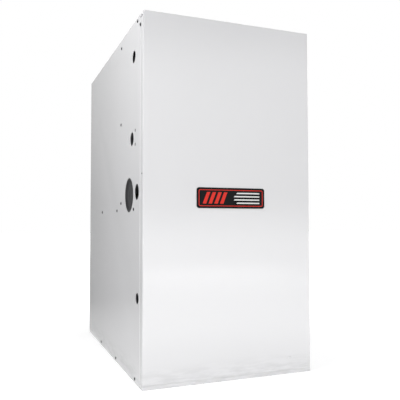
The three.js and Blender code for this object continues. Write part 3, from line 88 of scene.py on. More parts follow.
def newFinish(name, color, roughness, metallic=0.0, **sockets):
    material = bpy.data.materials.new(name)
    material.use_nodes = True
    tree = material.node_tree
    shader = tree.nodes["Principled BSDF"]
    feedAll(tree, shader, Base_Color=(*color, 1), Roughness=roughness, Metallic=metallic, **sockets)
    return material, tree, shader


# A bare node tree that ends in one output.
def bareTree(owner, kind, shader):
    owner.use_nodes = True
    tree = owner.node_tree
    tree.nodes.clear()
    addNode(tree, kind, Surface=shader(tree).outputs[0])


def objectPlace(tree, stretch=(1, 1, 1)):
    place = addNode(tree, "ShaderNodeTexCoord").outputs["Object"]
    return addNode(tree, "ShaderNodeMapping", Vector=place, Scale=stretch).outputs["Vector"]


def axesOf(tree, place=None):
    place = place or addNode(tree, "ShaderNodeTexCoord").outputs["Object"]
    return addNode(tree, "ShaderNodeSeparateXYZ", Vector=place).outputs


def noiseOf(tree, place, scale, detail=2.0, rough=0.5):
    node = addNode(tree, "ShaderNodeTexNoise", Vector=place, Scale=scale, Detail=detail, Roughness=rough)
    return node.outputs["Fac"]


def sumOf(tree, operation, a, b=0):
    node = addNode(tree, "ShaderNodeMath", {"operation": operation})
    feed(tree, node.inputs[0], a)
    feed(tree, node.inputs[1], b)
    return node.outputs[0]


# Two values, each taken by its share.
def blend(tree, a, shareA, b, shareB):
    return sumOf(tree, "ADD", sumOf(tree, "MULTIPLY", a, shareA), sumOf(tree, "MULTIPLY", b, shareB))


def spread(tree, value, low, high, fromLow=0.0, fromHigh=1.0):
    node = addNode(tree, "ShaderNodeMapRange", Value=value)
    for key, number in zip(("From Min", "From Max", "To Min", "To Max"), (fromLow, fromHigh, low, high)):
        node.inputs[key].default_value = number
    return node.outputs["Result"]


def tint(tree, factor, first, second):
    node = addNode(tree, "ShaderNodeMix", {"data_type": "RGBA"}, Factor=factor)
    for socket, color in ((node.inputs[6], first), (node.inputs[7], second)):
        feed(tree, socket, color if isinstance(color, bpy.types.NodeSocket) else (*color, 1))
    return node.outputs[2]


# One colour between a darker and a lighter tone of itself.
def tones(tree, factor, color, dark, light):
    return tint(tree, factor, *(tuple(channel * share for channel in color) for share in (dark, light)))


def bumpOf(tree, height, depth, **normal):
    return addNode(tree, "ShaderNodeBump", Height=height, Distance=depth, **normal).outputs["Normal"]


# Semi-gloss baked enamel on steel sheet, darkened in streaks near the floor as a painted reflection.
paintLook = {
    "color": (0.79, 0.79, 0.805),
    "roughness": 0.115,
    "gloss": 1.0,  # specular level
    "ior": 1.9,
    "peel": 0.00002,  # depth of the orange peel, in metres
    "mottle": 0.025,  # share by which the tone wanders
    "dents": 0.0006,
    "paintedStreakScale": (14, 14, 75),  # how fine the painted reflection streaks near the floor are along each axis
    "paintedStreakTop": 0.055,
}


def paintFinish(name):
    look = paintLook
    material, tree, shader = newFinish(
        name, look["color"], look["roughness"], Specular_IOR_Level=look["gloss"], IOR=look["ior"])
    place = objectPlace(tree)
    broad = noiseOf(tree, place, 3.2, 3)
    streaks = noiseOf(tree, objectPlace(tree, look["paintedStreakScale"]), 1.0, 4, 0.6)
    # Painted reflection: the colour is darkened in streaks over the lowest few centimetres, standing in for the dim,
    # wavy reflection at the foot of the enamel.
    low = spread(tree, axesOf(tree, place)["Z"], 1.0, 0.0, 0.0, look["paintedStreakTop"])
    paintedReflectionStreaks = sumOf(tree, "MULTIPLY", low, spread(tree, streaks, 0.0, 1.5, 0.42, 0.62))
    tone = sumOf(tree, "ADD", sumOf(tree, "MULTIPLY", broad, look["mottle"] * 2), paintedReflectionStreaks)
    rub = noiseOf(tree, place, 14, 4, 0.6)
    dents = bumpOf(tree, noiseOf(tree, place, 4.5, 1), look["dents"])
    feedAll(tree, shader,
            Base_Color=tones(tree, tone, look["color"], 1 + look["mottle"], 1 - 4 * look["mottle"]),
            Roughness=spread(tree, rub, look["roughness"] - 0.03, look["roughness"] + 0.04),
            Normal=bumpOf(tree, noiseOf(tree, place, 420, 2), look["peel"], Normal=dents))
    return material


# Hot-dipped sheet: crystals of different greys, each with its own sheen.
zincLook = {"color": (0.52, 0.535, 0.55), "roughness": 0.36, "crystals": 120, "contrast": 0.18}


def zincFinish(name):
    look = zincLook
    material, tree, shader = newFinish(name, look["color"], look["roughness"], 0.85)
    place = objectPlace(tree)
    warped = addNode(tree, "ShaderNodeTexNoise", Vector=place, Scale=60.0, Detail=2.0)
    shifted = addNode(tree, "ShaderNodeVectorMath", {"operation": "MULTIPLY_ADD"})
    for i, value in enumerate((warped.outputs["Color"], (0.004, 0.004, 0.004), place)):
        feed(tree, shifted.inputs[i], value)
    cells = addNode(tree, "ShaderNodeTexVoronoi", Vector=shifted.outputs[0], Scale=look["crystals"])
    grey = addNode(tree, "ShaderNodeSeparateColor", Color=cells.outputs["Color"]).outputs["Red"]
    mixed = blend(tree, grey, 0.7, noiseOf(tree, objectPlace(tree, (1, 1, 6)), 240, 3), 0.3)
    feedAll(tree, shader,
            Base_Color=tones(tree, mixed, look["color"], 1 - look["contrast"], 1 + look["contrast"]),
            Roughness=spread(tree, mixed, 0.26, 0.48),
            Normal=bumpOf(tree, grey, 0.00004))
    return material


# Aluminised steel: rolled along the sheet, with a straw and blue tint where it gets hot.
aluminisedLook = {"color": (0.46, 0.465, 0.47), "hot": (0.40, 0.33, 0.25), "roughness": 0.42}


def aluminisedFinish(name):
    look = aluminisedLook
    material, tree, shader = newFinish(name, look["color"], look["roughness"], 0.9)
    rolled = noiseOf(tree, objectPlace(tree, (900, 40, 900)), 1.0, 3)
    broad = noiseOf(tree, objectPlace(tree), 9, 4, 0.6)
    heat = sumOf(tree, "MULTIPLY", spread(tree, broad, 0.0, 1.0, 0.52, 0.75), 0.5)
    feedAll(tree, shader,
            Base_Color=tint(tree, heat, tones(tree, rolled, look["color"], 0.85, 1.12), look["hot"]),
            Roughness=spread(tree, broad, 0.34, 0.52),
            Normal=bumpOf(tree, rolled, 0.00003))
    return material


# Foil facing over glass wool: a reinforcing grid under crinkled foil.
foilLook = {"color": (0.72, 0.73, 0.74), "roughness": 0.24, "grid": 12.5 * mm, "crinkle": 0.0007}


def foilFinish(name):
    look = foilLook
    material, tree, shader = newFinish(name, look["color"], look["roughness"], 1.0)
    place = objectPlace(tree)
    apart = axesOf(tree, place)
    threads = 0.0
    for axis in ("X", "Y", "Z"):
        turn = sumOf(tree, "MULTIPLY", apart[axis], math.pi / look["grid"])
        wave = sumOf(tree, "ABSOLUTE", sumOf(tree, "SINE", turn))
        threads = sumOf(tree, "MAXIMUM", threads, sumOf(tree, "POWER", sumOf(tree, "SUBTRACT", 1, wave), 10))
    crinkle = addNode(tree, "ShaderNodeTexVoronoi", {"feature": "DISTANCE_TO_EDGE"}, Vector=place, Scale=34.0)
    folds = spread(tree, crinkle.outputs["Distance"], 0.0, 1.0, 0.0, 0.25)
    soft = noiseOf(tree, place, 26, 4, 0.55)
    normal = bumpOf(tree, sumOf(tree, "ADD", folds, soft), look["crinkle"])
    feedAll(tree, shader,
            Base_Color=tones(tree, soft, look["color"], 0.82, 1.0),
            Roughness=spread(tree, soft, 0.16, 0.38),
            Normal=bumpOf(tree, threads, 0.00022, Normal=normal))
    return material


# One function for the plain finishes, with a grain in the tone and in the surface.
# Each has its colour, roughness, metal share, fineness of the grain, contrast and depth in metres.
grainLooks = {
    "plain_steel": ((0.55, 0.56, 0.57), 0.3, 0.95, 300, 0.12, 0.00002),
    "black_paint": ((0.022, 0.023, 0.026), 0.42, 0.0, 260, 0.35, 0.00004),
    "cast_aluminium": ((0.47, 0.48, 0.49), 0.5, 0.85, 700, 0.2, 0.00012),
    "black_plastic": ((0.018, 0.018, 0.020), 0.5, 0.0, 1400, 0.3, 0.00005),
    "ceramic": ((0.72, 0.66, 0.54), 0.75, 0.0, 500, 0.12, 0.00008),
    "red_plastic": ((0.42, 0.02, 0.015), 0.35, 0.0, 900, 0.15, 0.00002),
    "hose_rubber": ((0.028, 0.027, 0.026), 0.62, 0.0, 600, 0.45, 0.00006),
    "white_plastic": ((0.70, 0.69, 0.66), 0.45, 0.0, 900, 0.06, 0.00003),
    "brass": ((0.56, 0.41, 0.18), 0.3, 1.0, 400, 0.15, 0.00002),
    "copper": ((0.62, 0.26, 0.12), 0.32, 1.0, 1200, 0.25, 0.00005),
    "hole_shade": ((0.012, 0.012, 0.013), 0.8, 0.0, 90, 0.3, 0.0001),
}


def grainFinish(name):
    color, roughness, metallic, grain, contrast, depth = grainLooks[name]
    material, tree, shader = newFinish(name, color, roughness, metallic)
    place = objectPlace(tree)
    fine = noiseOf(tree, place, grain, 3, 0.6)
    broad = noiseOf(tree, place, grain / 14, 4, 0.6)
    feedAll(tree, shader,
            Base_Color=tones(tree, blend(tree, fine, 0.5, broad, 0.5), color, 1 - contrast, 1 + contrast),
            Roughness=spread(tree, broad, roughness - 0.08, roughness + 0.1),
            Normal=bumpOf(tree, fine, depth))
    return material


# The badge's face is a printed film.
badgeLook = {
    "badge_face": (0.008, 0.008, 0.009), "badge_red": (0.74, 0.036, 0.024), "badge_white": (0.80, 0.80, 0.80),
}


def filmFinish(name):
    color = badgeLook[name]
    material, tree, shader = newFinish(name, color, 0.32, Specular_IOR_Level=0.12)
    place = objectPlace(tree)
    fleck = noiseOf(tree, place, 1600, 2)
    feedAll(tree, shader,
            Base_Color=tones(tree, fleck, color, 0.88, 1.12),
            Roughness=spread(tree, noiseOf(tree, place, 40, 3), 0.22, 0.36),
            Normal=bumpOf(tree, fleck, 0.00001))
    return material


# Green solder mask over copper tracks.
boardLook = {"mask": (0.015, 0.075, 0.03), "track": (0.05, 0.16, 0.07), "roughness": 0.35}


def boardFinish(name):
    look = boardLook
    material, tree, shader = newFinish(name, look["mask"], look["roughness"], Coat_Weight=0.3)
    place = addNode(tree, "ShaderNodeTexCoord").outputs["Object"]
    turned = addNode(tree, "ShaderNodeMapping", Vector=place, Rotation=(math.pi / 2, 0, 0)).outputs[0]
    brick = addNode(tree, "ShaderNodeTexBrick", {"offset": 0.37, "squash": 0.6}, Vector=turned, Scale=90.0,
                    Mortar_Size=0.035)
    pads = addNode(tree, "ShaderNodeTexVoronoi", Vector=place, Scale=330.0)
    dots = spread(tree, pads.outputs["Distance"], 1.0, 0.0, 0.14, 0.2)
    tracks = sumOf(tree, "MAXIMUM", brick.outputs["Fac"], dots)
    feedAll(tree, shader, Base_Color=tint(tree, tracks, look["mask"], look["track"]),
            Normal=bumpOf(tree, tracks, 0.00006))
    return material


finishMakers = {
    "cabinet_paint": paintFinish, "galvanised_steel": zincFinish, "aluminised_steel": aluminisedFinish,
    "insulation_foil": foilFinish, "circuit_board": boardFinish,
    **dict.fromkeys(badgeLook, filmFinish), **dict.fromkeys(grainLooks, grainFinish),
}
finishes = {name: make(name) for name, make in finishMakers.items()}
print("finishes made:", len(finishes))


def addObject(name, data):
    thing = bpy.data.objects.new(name, data)
    scene.collection.objects.link(thing)
    return thing


def finishPiece(mesh, name, finish, body, sharp=35):
    piece = addObject(name, mesh)
    mesh.materials.append(finishes[finish])
    mesh.shade_smooth()
    mesh.set_sharp_from_angle(angle=math.radians(sharp))
    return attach(piece, body)


def meshFrom(build, *details):
    shape = bmesh.new()
    build(shape, *details)
    bmesh.ops.recalc_face_normals(shape, faces=shape.faces)
    mesh = bpy.data.meshes.new("shape")
    shape.to_mesh(mesh)
    shape.free()
    return mesh


# A piece made by the function that builds its shape, shown for a node of the source where one is named.
def addPiece(build, name, finish, sharp=35, node=None, body="cabinet"):
    piece = finishPiece(meshFrom(build), name, finish, body, sharp)
    if node:
        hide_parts(node)


rightward, upward = (1, 0, 0), (0, 0, 1)
forward, rearward = (0, -1, 0), (0, 1, 0)  # the door is in front


# A frame whose Z runs along the given direction.
def towards(direction, at):
    turn = Vector(direction).to_track_quat("Z", "Y").to_matrix().to_4x4()
    return Matrix.Translation(at) @ turn


# Turns a profile of (radius, distance) points about the frame's Z.
def turnProfile(shape, profile, place, steps=48):
    rings = []
    for radius, along in profile:
        if rings and (radius, along) == profile[0]:
            rings.append(rings[0])
            continue
        count = steps if radius > 1e-6 else 1
        angles = [math.tau * i / steps for i in range(count)]
        rings.append([shape.verts.new(place @ Vector((radius * math.cos(angle), radius * math.sin(angle),
                                                      along)))
                      for angle in angles])
    for first, second in zip(rings, rings[1:]):
        for i in range(steps):
            j = (i + 1) % steps
            corners = [ring[k % len(ring)] for ring, k in ((first, i), (first, j), (second, j), (second, i))]
            kept = list(dict.fromkeys(corners))
            if len(kept) > 2:
                shape.faces.new(kept)


# A flat outline raised along the frame's Z, with a small bevel all round.
def raiseOutline(shape, outline, low, high, place, bevel=0.0):
    corners = [shape.verts.new(place @ Vector((x, y, low))) for x, y in outline]
    base = shape.faces.new(corners)
    lifted = bmesh.ops.extrude_face_region(shape, geom=[base])
    tops = [item for item in lifted["geom"] if isinstance(item, bmesh.types.BMVert)]
    rise = place.to_3x3() @ Vector((0, 0, high - low))
    bmesh.ops.translate(shape, verts=tops, vec=rise)
    if bevel > 0:
        rims = {edge for vert in tops for edge in vert.link_edges}
        edges = [edge for edge in rims if all(vert in tops for vert in edge.verts)]
        bmesh.ops.bevel(shape, geom=edges, offset=bevel, segments=2, profile=0.7, affect="EDGES")


def roundedOutline(width, height, radius, steps=6):
    outline = []
    for sideX, sideY, start in ((1, 1, 0), (-1, 1, 90), (-1, -1, 180), (1, -1, 270)):
        for i in range(steps + 1):
            angle = math.radians(start + 90 * i / steps)
            outline.append((sideX * (width / 2 - radius) + radius * math.cos(angle),
                            sideY * (height / 2 - radius) + radius * math.sin(angle)))
    return outline


# A block with its edges slightly rounded.
def addBlock(shape, low, high, bevel=0.0, segments=2):
    low, high = Vector(low), Vector(high)
    place = Matrix.Translation((low + high) / 2) @ Matrix.Diagonal((*(high - low), 1))
    made = bmesh.ops.create_cube(shape, size=1, matrix=place)["verts"]
    if bevel > 0:
        edges = list({edge for vert in made for edge in vert.link_edges})
        bmesh.ops.bevel(shape, geom=edges, offset=bevel, segments=segments, profile=0.7, affect="EDGES")


# A round bar between two points, with its ends chamfered.
def addRod(shape, start, end, radius, steps=32, chamfer=0.0):
    start, end = Vector(start), Vector(end)
    length = (end - start).length
    profile = [(0, 0), (radius, 0), (radius, length), (0, length)]
    if chamfer > 0:
        rim = radius - chamfer
        profile[1:3] = [(rim, 0), (radius, chamfer), (radius, length - chamfer), (rim, length)]
    turnProfile(shape, profile, towards(end - start, start), steps)


# Points along a route, with an arc at each corner.
def bendRoute(corners, radius, steps=12):
    corners = [Vector(corner) for corner in corners]
    route = [corners[0]]
    for before, corner, after in zip(corners, corners[1:], corners[2:]):
        back = (before - corner).normalized()
        ahead = (after - corner).normalized()
        half = back.angle(ahead) / 2
        centre = corner + (back + ahead).normalized() * radius / math.sin(half)
        first = corner + back * radius / math.tan(half) - centre
        last = corner + ahead * radius / math.tan(half) - centre
        turn = first.angle(last)
        for i in range(steps + 1):
            share = i / steps
            spoke = first * math.sin((1 - share) * turn) + last * math.sin(share * turn)
            route.append(centre + spoke / math.sin(turn))
    route.append(corners[-1])
    return [at for i, at in enumerate(route) if i == 0 or (at - route[i - 1]).length > 1e-5]


# A tube along a route. Its two half sizes may change on the way, and a wall leaves it open at both ends.
def addTube(shape, route, halfSizes, across, steps=32, wall=0.0):
    across = Vector(across)
    skins = []
    for inset in ((0.0, wall) if wall > 0 else (0.0,)):
        side = across.copy()
        rings = []
        for i, at in enumerate(route):
            along = (route[min(i + 1, len(route) - 1)] - route[max(i - 1, 0)]).normalized()
            side = (side - along * side.dot(along)).normalized()
            over = along.cross(side)
            wide, high = halfSizes(at)
            ring = []
            for k in range(steps):
                angle = math.tau * k / steps
                point = at + side * (wide - inset) * math.cos(angle) + over * (high - inset) * math.sin(angle)
                ring.append(shape.verts.new(point))
            rings.append(ring)
        skins.append(rings)
    for rings in skins:
        for first, second in zip(rings, rings[1:]):
            joinRings(shape, first, second)
    for end in (0, -1):
        if wall > 0:
            joinRings(shape, skins[0][end], skins[1][end])
        else:
            shape.faces.new(skins[0][end])


def joinRings(shape, first, second):
    for i in range(len(first)):
        j = (i + 1) % len(first)
        shape.faces.new((first[i], first[j], second[j], second[i]))


# A frame between two outlines of as many points, raised along the frame's Z.
def raiseFrame(shape, outer, inner, low, high, place):
    rings = []
    for z, outline in ((low, outer), (high, outer), (high, inner), (low, inner)):
        rings.append([shape.verts.new(place @ Vector((x, y, z))) for x, y in outline])
    for i in range(4):
        joinRings(shape, rings[i], rings[(i + 1) % 4])


# The profile of a flat band bent round, with its corners eased.
def bandProfile(inner, outer, length, ease):
    side = [(inner, ease), (inner + ease, 0), (outer - ease, 0), (outer, ease)]
    return side + [(radius, length - along) for radius, along in reversed(side)] + side[:1]


# The outline of a sheet folded along a line through the middle of its thickness.
def foldedOutline(corners, thickness, radius, steps=8):
    line = bendRoute([(x, y, 0) for x, y in corners], radius, steps)
    outline = []
    for side in (1, -1):
        row = []
        for i, at in enumerate(line):
            along = (line[min(i + 1, len(line) - 1)] - line[max(i - 1, 0)]).normalized()
            row.append((at.x - along.y * side * thickness / 2, at.y + along.x * side * thickness / 2))
        outline += row if side == 1 else row[::-1]
    return outline


# What is left of a mesh when others are cut away from it.
def cutAway(mesh, *toolMeshes):
    base = addObject("base", mesh)
    tools = [addObject("tool", toolMesh) for toolMesh in toolMeshes]
    for tool in tools:
        cut = base.modifiers.new("cut", "BOOLEAN")
        cut.operation = "DIFFERENCE"
        cut.solver = "EXACT"
        cut.object = tool
    bpy.context.view_layer.update()
    result = bpy.data.meshes.new_from_object(base.evaluated_get(bpy.context.evaluated_depsgraph_get()))
    for thing in (base, *tools):
        bpy.data.objects.remove(thing)
    return result


# The outline of a fan scroll: it grows from the tongue to the mouth, which opens upwards.
def scrollOutline(tongue, mouth, top, inset=0.0, steps=72):
    neck = tongue / 2 + inset
    start = math.acos(neck / (tongue - inset))
    outline = []
    for i in range(steps + 1):
        angle = start + (math.tau - start) * i / steps
        radius = tongue + (mouth - tongue) * i / steps - inset
        outline.append((radius * math.cos(angle), radius * math.sin(angle)))
    return outline + [(mouth - inset, top), (neck, top)]


# Frames whose own X and Y lie along the furnace's axes, for outlines that face the front or a side.
def facing(axis, at):
    columns = {
        "x": ((0, 1, 0), (0, 0, 1), (1, 0, 0)),
        "y": ((1, 0, 0), (0, 0, 1), (0, -1, 0)),
        "z": ((1, 0, 0), (0, 1, 0), (0, 0, 1)),
    }[axis]
    return Matrix.Translation(at) @ Matrix(columns).transposed().to_4x4()


def middleOf(node):
    low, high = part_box(node)
    return (low + high) / 2


# Rounds the shading of the curved faces and keeps the sharp edges.
def smoothGroup(angle):
    group = bpy.data.node_groups.new("smooth_by_edge", "GeometryNodeTree")
    for way in ("INPUT", "OUTPUT"):
        group.interface.new_socket("Geometry", in_out=way, socket_type="NodeSocketGeometry")
    start = addNode(group, "NodeGroupInput")
    weld = addNode(group, "GeometryNodeMergeByDistance", Geometry=start.outputs[0], Distance=0.00001)
    edgeAngle = addNode(group, "GeometryNodeInputMeshEdgeAngle").outputs["Unsigned Angle"]
    smooth = sumOf(group, "LESS_THAN", edgeAngle, math.radians(angle))
    faces = addNode(group, "GeometryNodeSetShadeSmooth", Geometry=weld.outputs[0])
    edges = addNode(group, "GeometryNodeSetShadeSmooth", {"domain": "EDGE"}, Geometry=faces.outputs[0],
                    Shade_Smooth=smooth)
    end = addNode(group, "NodeGroupOutput")
    group.links.new(edges.outputs[0], end.inputs[0])
    return group


softShading = smoothGroup(38)


def dressNode(name, finish, bevel=0.0):
    node = frame["nodes"][name]
    for materialSlot in node.material_slots:
        materialSlot.material = finishes[finish]
    if bevel > 0:
        weld = node.modifiers.new("weld", "WELD")
        weld.merge_threshold = 0.00001
        flat = node.modifiers.new("flat", "DECIMATE")
        flat.decimate_type = "DISSOLVE"
        flat.angle_limit = math.radians(1)
        rim = node.modifiers.new("rim", "BEVEL")
        rim.width = bevel
        rim.segments = 2
        rim.angle_limit = math.radians(40)
    smooth = node.modifiers.new("smooth", "NODES")
    smooth.node_group = softShading


slotOfNode = {part["node"]: part["material_slot"] for part in frame["record"]["subparts"]}
bevelled = {"door_sill": 0.3 * mm, "gas_valve": 0.8 * mm, "door_switch": 0.6 * mm, "door_insulation": 2 * mm}
for nodeName in frame["nodes"]:
    dressNode(nodeName, slotOfNode[nodeName], bevelled.get(nodeName, 0))
print("carried pieces dressed")


cabinetLow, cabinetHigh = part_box("cabinet_wrapper")
doorLow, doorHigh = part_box("front_door")
doorFace = doorLow.y


# Round holes of the left side: distance behind the door's face, height and diameter.
cabinetShape = {
    "sheet": 1.2 * mm,
    "bend": 2.5 * mm,
    "flange": 22 * mm,
    "holes": {
        "gas": (56 * mm, 454 * mm, 38 * mm),
        "air": (134.5 * mm, 450 * mm, 87 * mm),
        "conduit": (106.5 * mm, 588.5 * mm, 34 * mm),
        "boxScrewHigh": (74 * mm, 605.75 * mm, 8.5 * mm),
        "boxScrewLow": (74 * mm, 571.25 * mm, 8.5 * mm),
        "upper": (89 * mm, 791 * mm, 30 * mm),
        "lower": (49.5 * mm, 201.5 * mm, 27 * mm),
    },
}


def cabinetShell():
    size = cabinetShape
    edge, half = size["flange"], cabinetHigh.x
    front, back = cabinetLow.y + size["sheet"] / 2, cabinetHigh.y - size["sheet"] / 2
    wall = half - size["sheet"] / 2
    side = [(half - edge, front), (wall, front), (wall, back)]
    outline = foldedOutline([(-x, y) for x, y in side] + side[::-1], size["sheet"], size["bend"])
    shell = meshFrom(lambda shape: raiseOutline(shape, outline, 0, cabinetHigh.z, facing("z", (0, 0, 0))))

    def punches(shape):
        for setback, height, diameter in size["holes"].values():
            y, reach = doorFace + setback, 4 * mm
            addRod(shape, (-half - reach, y, height), (-half + reach, y, height), diameter / 2, 48)

    piece = finishPiece(cutAway(shell, meshFrom(punches)), "cabinet_shell", "cabinet_paint", "cabinet", 30)
    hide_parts("cabinet_wrapper")


doorShape = {"sheet": 1.2 * mm, "bend": 2.5 * mm, "lip": 16 * mm, "relief": 11 * mm}


# One folded pan, with a flange at the top and the bottom and notched upper corners.
def doorShell():
    size = doorShape
    sheet, half = size["sheet"], doorHigh.x
    wall = half - sheet / 2
    lipY, frontY = doorHigh.y - sheet / 2, doorLow.y + sheet / 2
    side = [(half - size["lip"], lipY), (wall, lipY), (wall, frontY)]
    outline = foldedOutline([(-x, y) for x, y in side] + side[::-1], sheet, size["bend"])
    pan = meshFrom(lambda shape: raiseOutline(shape, outline, doorLow.z, doorHigh.z, facing("z", (0, 0, 0))))

    def notches(shape):
        for side in (-1, 1):
            x = side * half
            front = doorLow.y + 2 * size["bend"]
            addBlock(shape, (x - 2 * size["bend"], front, doorHigh.z - size["relief"]),
                     (x + 2 * size["bend"], doorHigh.y + 1 * mm, doorHigh.z + 1 * mm))

    piece = finishPiece(cutAway(pan, meshFrom(notches)), "door_pan", "cabinet_paint", "front_door", 30)
    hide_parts("front_door")

    def flanges(shape):
        inner, gap = half - sheet - 3.2 * mm, sheet + 0.1 * mm
        for low in (doorLow.z, doorHigh.z - sheet):
            addBlock(shape, (-inner, doorLow.y + gap, low), (inner, doorHigh.y - gap, low + sheet), 0.2 * mm)

    addPiece(flanges, "door_flanges", "cabinet_paint", body="front_door")


# A dished black cover that closes the large air hole from inside.
def airHoleCover():
    low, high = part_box("air_hole_plug")
    outer, depth = (high.z - low.z) / 2, high.x - low.x
    floor = depth - 1.4 * mm
    lip = cabinetShape["holes"]["air"][2] / 2 - 0.4 * mm

    def dish(shape):
        turnProfile(shape, [
            (0, floor), (lip * 0.35, floor), (lip * 0.38, floor - 0.5 * mm), (lip * 0.42, floor),
            (lip - 7 * mm, floor), (lip - 5.5 * mm, depth - 2 * mm), (lip - 3.6 * mm, 0.4 * mm),
            (lip - 3 * mm, 0), (lip - 0.5 * mm, 0), (lip, 0.5 * mm), (lip, 1.5 * mm), (outer, 1.5 * mm),
            (outer, 2.4 * mm), (lip - 2 * mm, depth), (0, depth),
        ], towards(rightward, (low.x, (low.y + high.y) / 2, (low.z + high.z) / 2)), 72)

    addPiece(dish, "air_hole_cover", "black_plastic", 40, "air_hole_plug")


cabinetShell()
doorShell()
airHoleCover()
print("cabinet and door made")


# Smooth serpentine tubes: round in the first pass, then pressed narrow, with a round outlet.
tubeShape = {
    "radius": 22 * mm, "outlet": 18 * mm, "wide": 15 * mm, "high": 26 * mm, "wall": 1.5 * mm,
    "rear": 116 * mm,  # from the back of the cabinet to the middle of the rear bends
    "front": 92 * mm,  # from the vestibule panel to the middle of the front bend
    "collar": 28 * mm, "taper": 42 * mm, "passes": 4, "step": 7 * mm,
}


def exchangerTubes():
    size = tubeShape
    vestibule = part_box("vestibule_panel")[0].y
    for i in range(1, 5):
        low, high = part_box(f"exchanger_tube_{i}")
        x = (low.x + high.x) / 2
        firstZ, lastZ = low.z + size["radius"], high.z - size["high"]
        pitch = (lastZ - firstZ) / (size["passes"] - 1)
        rear = cabinetHigh.y - size["rear"] + pitch / 2
        front = vestibule + size["front"] - pitch / 2
        corners = [(x, low.y, firstZ)]
        for turn in range(size["passes"] - 1):
            y = rear if turn % 2 == 0 else front
            corners += [(x, y, firstZ + turn * pitch), (x, y, firstZ + (turn + 1) * pitch)]
        corners += [(x, low.y, lastZ)]
        route = []
        bent = bendRoute(corners, pitch / 2 - 0.01 * mm, 16)
        for first, second in zip(bent, bent[1:]):
            steps = max(1, int((second - first).length / size["step"]))
            route += [first.lerp(second, k / steps) for k in range(steps)]
        route.append(Vector(corners[-1]))

        # How far the tube is pressed flat: not at all in its first pass, and round again at its outlet.
        def sizes(at):
            press, radius = 1.0, size["radius"]
            if at.z < firstZ + pitch / 2:
                press = max(0.0, min(1.0, (at.z - firstZ) / (pitch / 2)))
            elif at.z > lastZ - 1 * mm:
                press = max(0.0, min(1.0, (at.y - vestibule - size["collar"]) / size["taper"]))
                radius = size["outlet"]
            press = press * press * (3 - 2 * press)
            return (radius + (size["wide"] - radius) * press, radius + (size["high"] - radius) * press)

        def tube(shape):
            addTube(shape, route, sizes, rightward, 32, size["wall"])

        addPiece(tube, f"serpentine_tube_{i}", "aluminised_steel", 50, f"exchanger_tube_{i}")


exchangerTubes()
print("exchanger tubes made")


# The round outlet for the flue pipe, with a stop bead and a flange on the inducer's mouth.
flueShape = {"radius": 37.4 * mm, "neck": 23 * mm, "wall": 1.2 * mm, "flange": 45 * mm, "flangeDepth": 2 * mm,
             "taper": 24 * mm, "bead": 0.6 * mm, "beadDrop": 32 * mm}


def flueOutlet():
    size = flueShape
    low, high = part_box("flue_collar")
    radius, neck, wall, flange = size["radius"], size["neck"], size["wall"], size["flange"]
    height, depth, taper = high.z - low.z, size["flangeDepth"], size["taper"]
    beadAt = height - size["beadDrop"]
    profile = [
        (neck, 0), (flange - 0.4 * mm, 0), (flange, 0.4 * mm), (flange, depth - 0.4 * mm),
        (flange - 0.4 * mm, depth), (neck + wall + 2 * mm, depth), (neck + wall + 0.4 * mm, depth + wall),
        (radius - 0.9 * mm, taper - 1.5 * mm), (radius + 0.3 * mm, taper), (radius, taper + 2 * mm),
        (radius, beadAt - 3 * mm), (radius + size["bead"], beadAt - 2 * mm), (radius + size["bead"], beadAt),
        (radius, beadAt + 1 * mm), (radius, height - 0.3 * mm), (radius - 0.3 * mm, height),
        (radius - wall, height), (radius - wall, taper), (neck, depth + 1 * mm), (neck, 0),
    ]
    place = towards(upward, ((low.x + high.x) / 2, (low.y + high.y) / 2, low.z))
    addPiece(lambda shape: turnProfile(shape, profile, place, 72),
             "flue_outlet_ring", "galvanised_steel", 32, "flue_collar")


flueOutlet()
print("flue collar made")


# Plain generic art on the door's badge: slanted bars at the left, fine lines at the right, and a border.
badgeArt = {
    "lift": 0.25 * mm,
    "seat": 0.1 * mm,  # how deep the art sits in the film
    "barMargin": 10 * mm,
    "barWidth": 9 * mm,
    "barPitch": 15 * mm,
    "barCount": 4,
    "barSlant": 11 * mm,
    "barHeight": 28 * mm,
    "lineMargin": 9 * mm,
    "lineCount": 4,
    "lineStagger": 7 * mm,
    "lineHeight": 3.2 * mm,
    "linePitch": 8 * mm,
    "lineLength": 74 * mm,
    "border": 1.6 * mm,
    "borderInset": 5 * mm,
}


def badgeShapes():
    art = badgeArt
    low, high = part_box("badge_plate")
    place = facing("y", ((low.x + high.x) / 2, low.y, (low.z + high.z) / 2))
    inset, border = art["borderInset"], 2 * art["border"]
    width, height = high.x - low.x - 2 * inset, high.z - low.z - 2 * inset
    levels = (-art["seat"], art["lift"] - art["seat"])

    def redBars(shape):
        half, slant = art["barHeight"] / 2, art["barSlant"]
        for i in range(art["barCount"]):
            left = -width / 2 + art["barMargin"] + i * art["barPitch"]
            right = left + art["barWidth"]
            raiseOutline(shape, [(left, -half), (right, -half), (right + slant, half), (left + slant, half)],
                         *levels, place)

    def whiteLines(shape):
        end, half = width / 2 - art["lineMargin"], art["lineHeight"] / 2
        for i in range(art["lineCount"]):
            fromMiddle = i - (art["lineCount"] - 1) / 2
            z = fromMiddle * art["linePitch"]
            start = end - art["lineLength"] + art["lineStagger"] * abs(fromMiddle)
            raiseOutline(shape, [(start, z - half), (end, z - half), (end, z + half),
                                 (start + 2 * half, z + half)],
                         *levels, place)

    def redBorder(shape):
        raiseFrame(shape, roundedOutline(width, height, 4 * mm),
                   roundedOutline(width - border, height - border, 2.6 * mm), *levels, place)

    addPiece(redBars, "badge_bars", "badge_red", body="front_door")
    addPiece(whiteLines, "badge_lines", "badge_white", body="front_door")
    addPiece(redBorder, "badge_border", "badge_red", body="front_door")


badgeShapes()
print("badge made")


# Low washer-head screws with a cross recess.
screwSizes = {"washer": 4.6 * mm, "head": 3.0 * mm, "rise": 1.5 * mm, "recess": 1.9 * mm}


